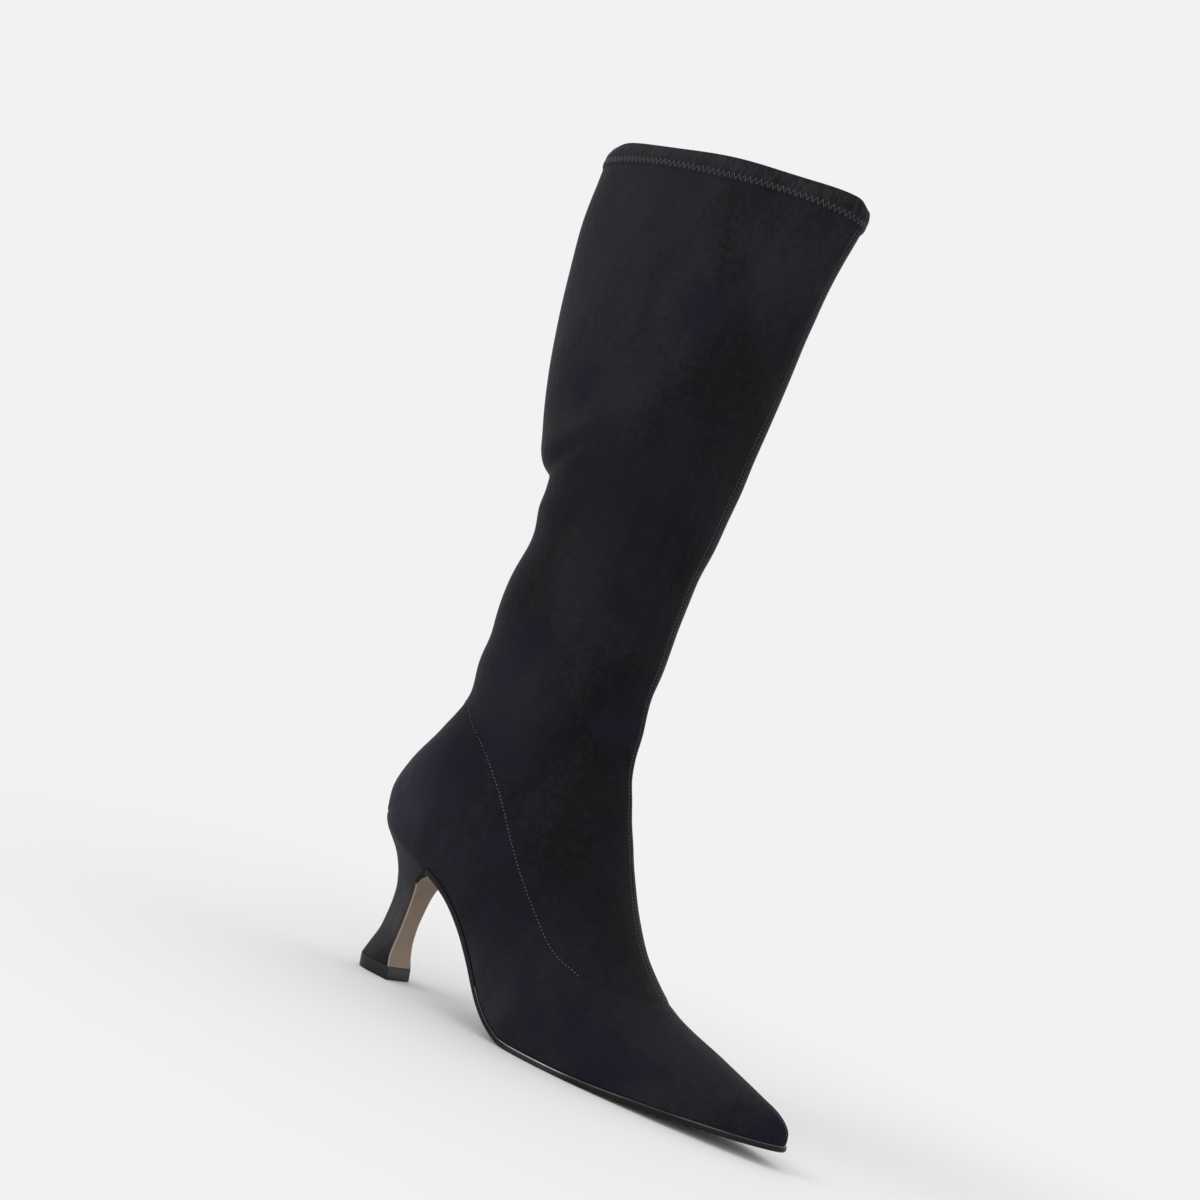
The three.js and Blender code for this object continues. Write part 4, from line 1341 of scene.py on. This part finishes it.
def insole_piece():
    """Padded sock on the insole board."""
    places = np.linspace(0, COLLAR_PLACE, 420)
    row = section_curve(places)
    places = places[row[:, 3] < feather_z(row[:, 2])]
    sides = []
    for side in (1, -1):
        turn = (side * feather_turn(places, side))[:, None]
        p = face(places, turn) - face_normal(places, turn) * (WALL + CLEARANCE + 0.2)
        sides.append(p[:, 0, :2])
    outline = evenly(np.vstack([sides[0], sides[1][::-1]]), 160)
    rings = []
    for inset, rise in SOCK_SECTION:
        xy = outline * [1, 1 - inset / SOCK_HALF]
        xy[:, 0] = np.clip(xy[:, 0], SOCK_BACK + inset, FOOT_LENGTH - inset)
        rings.append(np.column_stack([xy, feather_z(xy[:, 0]) + rise]))
    size = (len(rings), len(outline))
    faces = grid_faces(*size, closed=True, flip=True) + folded_caps(*size, flip=True)
    wear(make_piece("sock_lining", np.vstack(rings), faces, LINING), "boot", "lining", "insole")


insole_piece()


# Metal of the zip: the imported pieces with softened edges
def softened(node, name, width):
    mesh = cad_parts[node].data.copy()
    mesh.name = name
    piece = add_object(name, mesh)
    bm = bmesh.new()
    bm.from_mesh(mesh)
    bmesh.ops.remove_doubles(bm, verts=bm.verts, dist=1e-5)
    bmesh.ops.dissolve_limit(bm, angle_limit=math.radians(3), verts=bm.verts, edges=bm.edges)
    bm.to_mesh(mesh)
    bm.free()
    mesh.materials.clear()
    mesh.materials.append(SILVER)
    shade_smooth(mesh)
    return sharpen(piece, 35, width)


wear(softened("zip_slider", "slider", 0.22), "boot", "metal", "zip_slider")
wear(softened("zip_pull", "pull_tab", 0.16), "zip_pull", "metal", "zip_pull")
wear(softened("zip_stop", "bottom_stop", 0.1), "boot", "metal", "zip_stop")


# Camera on the outer side, rolled
def add_camera():
    back = Vector((math.sin(TURN) * math.cos(TILT), -math.cos(TURN) * math.cos(TILT), math.sin(TILT)))
    right = Vector((math.cos(TURN), math.sin(TURN), 0))
    up = back.cross(right)
    rolled_right = right * math.cos(ROLL) + up * math.sin(ROLL)
    rolled_up = up * math.cos(ROLL) - right * math.sin(ROLL)
    data = bpy.data.cameras.new("camera")
    data.sensor_width = 36
    data.lens = FOCAL_PIXELS / IMAGE_PIXELS * data.sensor_width
    data.shift_x = (IMAGE_PIXELS / 2 - TARGET_PIXEL[0]) / IMAGE_PIXELS
    data.shift_y = (TARGET_PIXEL[1] - IMAGE_PIXELS / 2) / IMAGE_PIXELS
    camera = add_object("camera", data)
    centre = Vector((TARGET + LAST_ORIGIN) / 1000)
    place = centre + back * DISTANCE / 1000
    axes = Matrix((rolled_right, rolled_up, back)).transposed().to_4x4()
    camera.matrix_world = Matrix.Translation(place) @ axes
    bpy.context.scene.camera = camera


add_camera()


# Studio: pale floor without an edge, soft light from the left and above
BACKDROP = (0.887, 0.887, 0.887, 1)
FLOOR_RADIUS = 6.0
FLOOR_CORNERS = 64
FLOOR_FADE = (0.2, 0.62)


def add_floor():
    points = [(0, 0, 0)]
    for k in range(FLOOR_CORNERS):
        angle = 2 * math.pi * k / FLOOR_CORNERS
        points.append((FLOOR_RADIUS * math.cos(angle), FLOOR_RADIUS * math.sin(angle), 0))
    mesh = bpy.data.meshes.new("studio_floor")
    mesh.from_pydata(points, [], [(0, k + 1, (k + 1) % FLOOR_CORNERS + 1) for k in range(FLOOR_CORNERS)])
    floor = add_object("studio_floor", mesh)
    f = Finish("pale_floor", Roughness=0.95, Specular_IOR_Level=0.05)
    f.set(Base_Color=f.colours(f.noise(420, 2.0), (0.84, 0.84, 0.84), (0.86, 0.86, 0.86)))
    plain = f.node("ShaderNodeEmission", Color=BACKDROP)
    fade = {0: f.length(f.place).between(*FLOOR_FADE), 1: Value(f.tree, f.shader.outputs[0]), 2: plain}
    feed(f.tree, f.output.inputs["Surface"], add_node(f.tree, "ShaderNodeMixShader", inputs=fade))
    mesh.materials.append(f.material)


def add_area(name, place, aim, size, power):
    data = bpy.data.lights.new(name, "AREA")
    data.shape = "DISK"
    data.size = size
    data.energy = power
    lamp = add_object(name, data)
    lamp.location = place
    lamp.rotation_euler = (Vector(aim) - Vector(place)).to_track_quat("-Z", "Y").to_euler()


def add_world():
    world = bpy.data.worlds.new("studio")
    world.use_nodes = True
    tree = world.node_tree
    tree.nodes.clear()
    light = add_node(tree, "ShaderNodeBackground", inputs={"Color": (1, 1, 1, 1), "Strength": 0.9})
    seen = add_node(tree, "ShaderNodeBackground", inputs={"Color": BACKDROP})
    by_camera = add_node(tree, "ShaderNodeLightPath", out="Is Camera Ray")
    mix = add_node(tree, "ShaderNodeMixShader", inputs={0: by_camera, 1: light, 2: seen})
    feed(tree, tree.nodes.new("ShaderNodeOutputWorld").inputs["Surface"], mix)
    bpy.context.scene.world = world


add_floor()
add_world()
add_area("key", (-1.3, -1.2, 1.7), (0, 0, 0.2), 1.2, 10)
add_area("fill", (1.2, -1.6, 0.9), (0, 0, 0.2), 1.4, 4)
bpy.context.scene.view_settings.view_transform = "Standard"
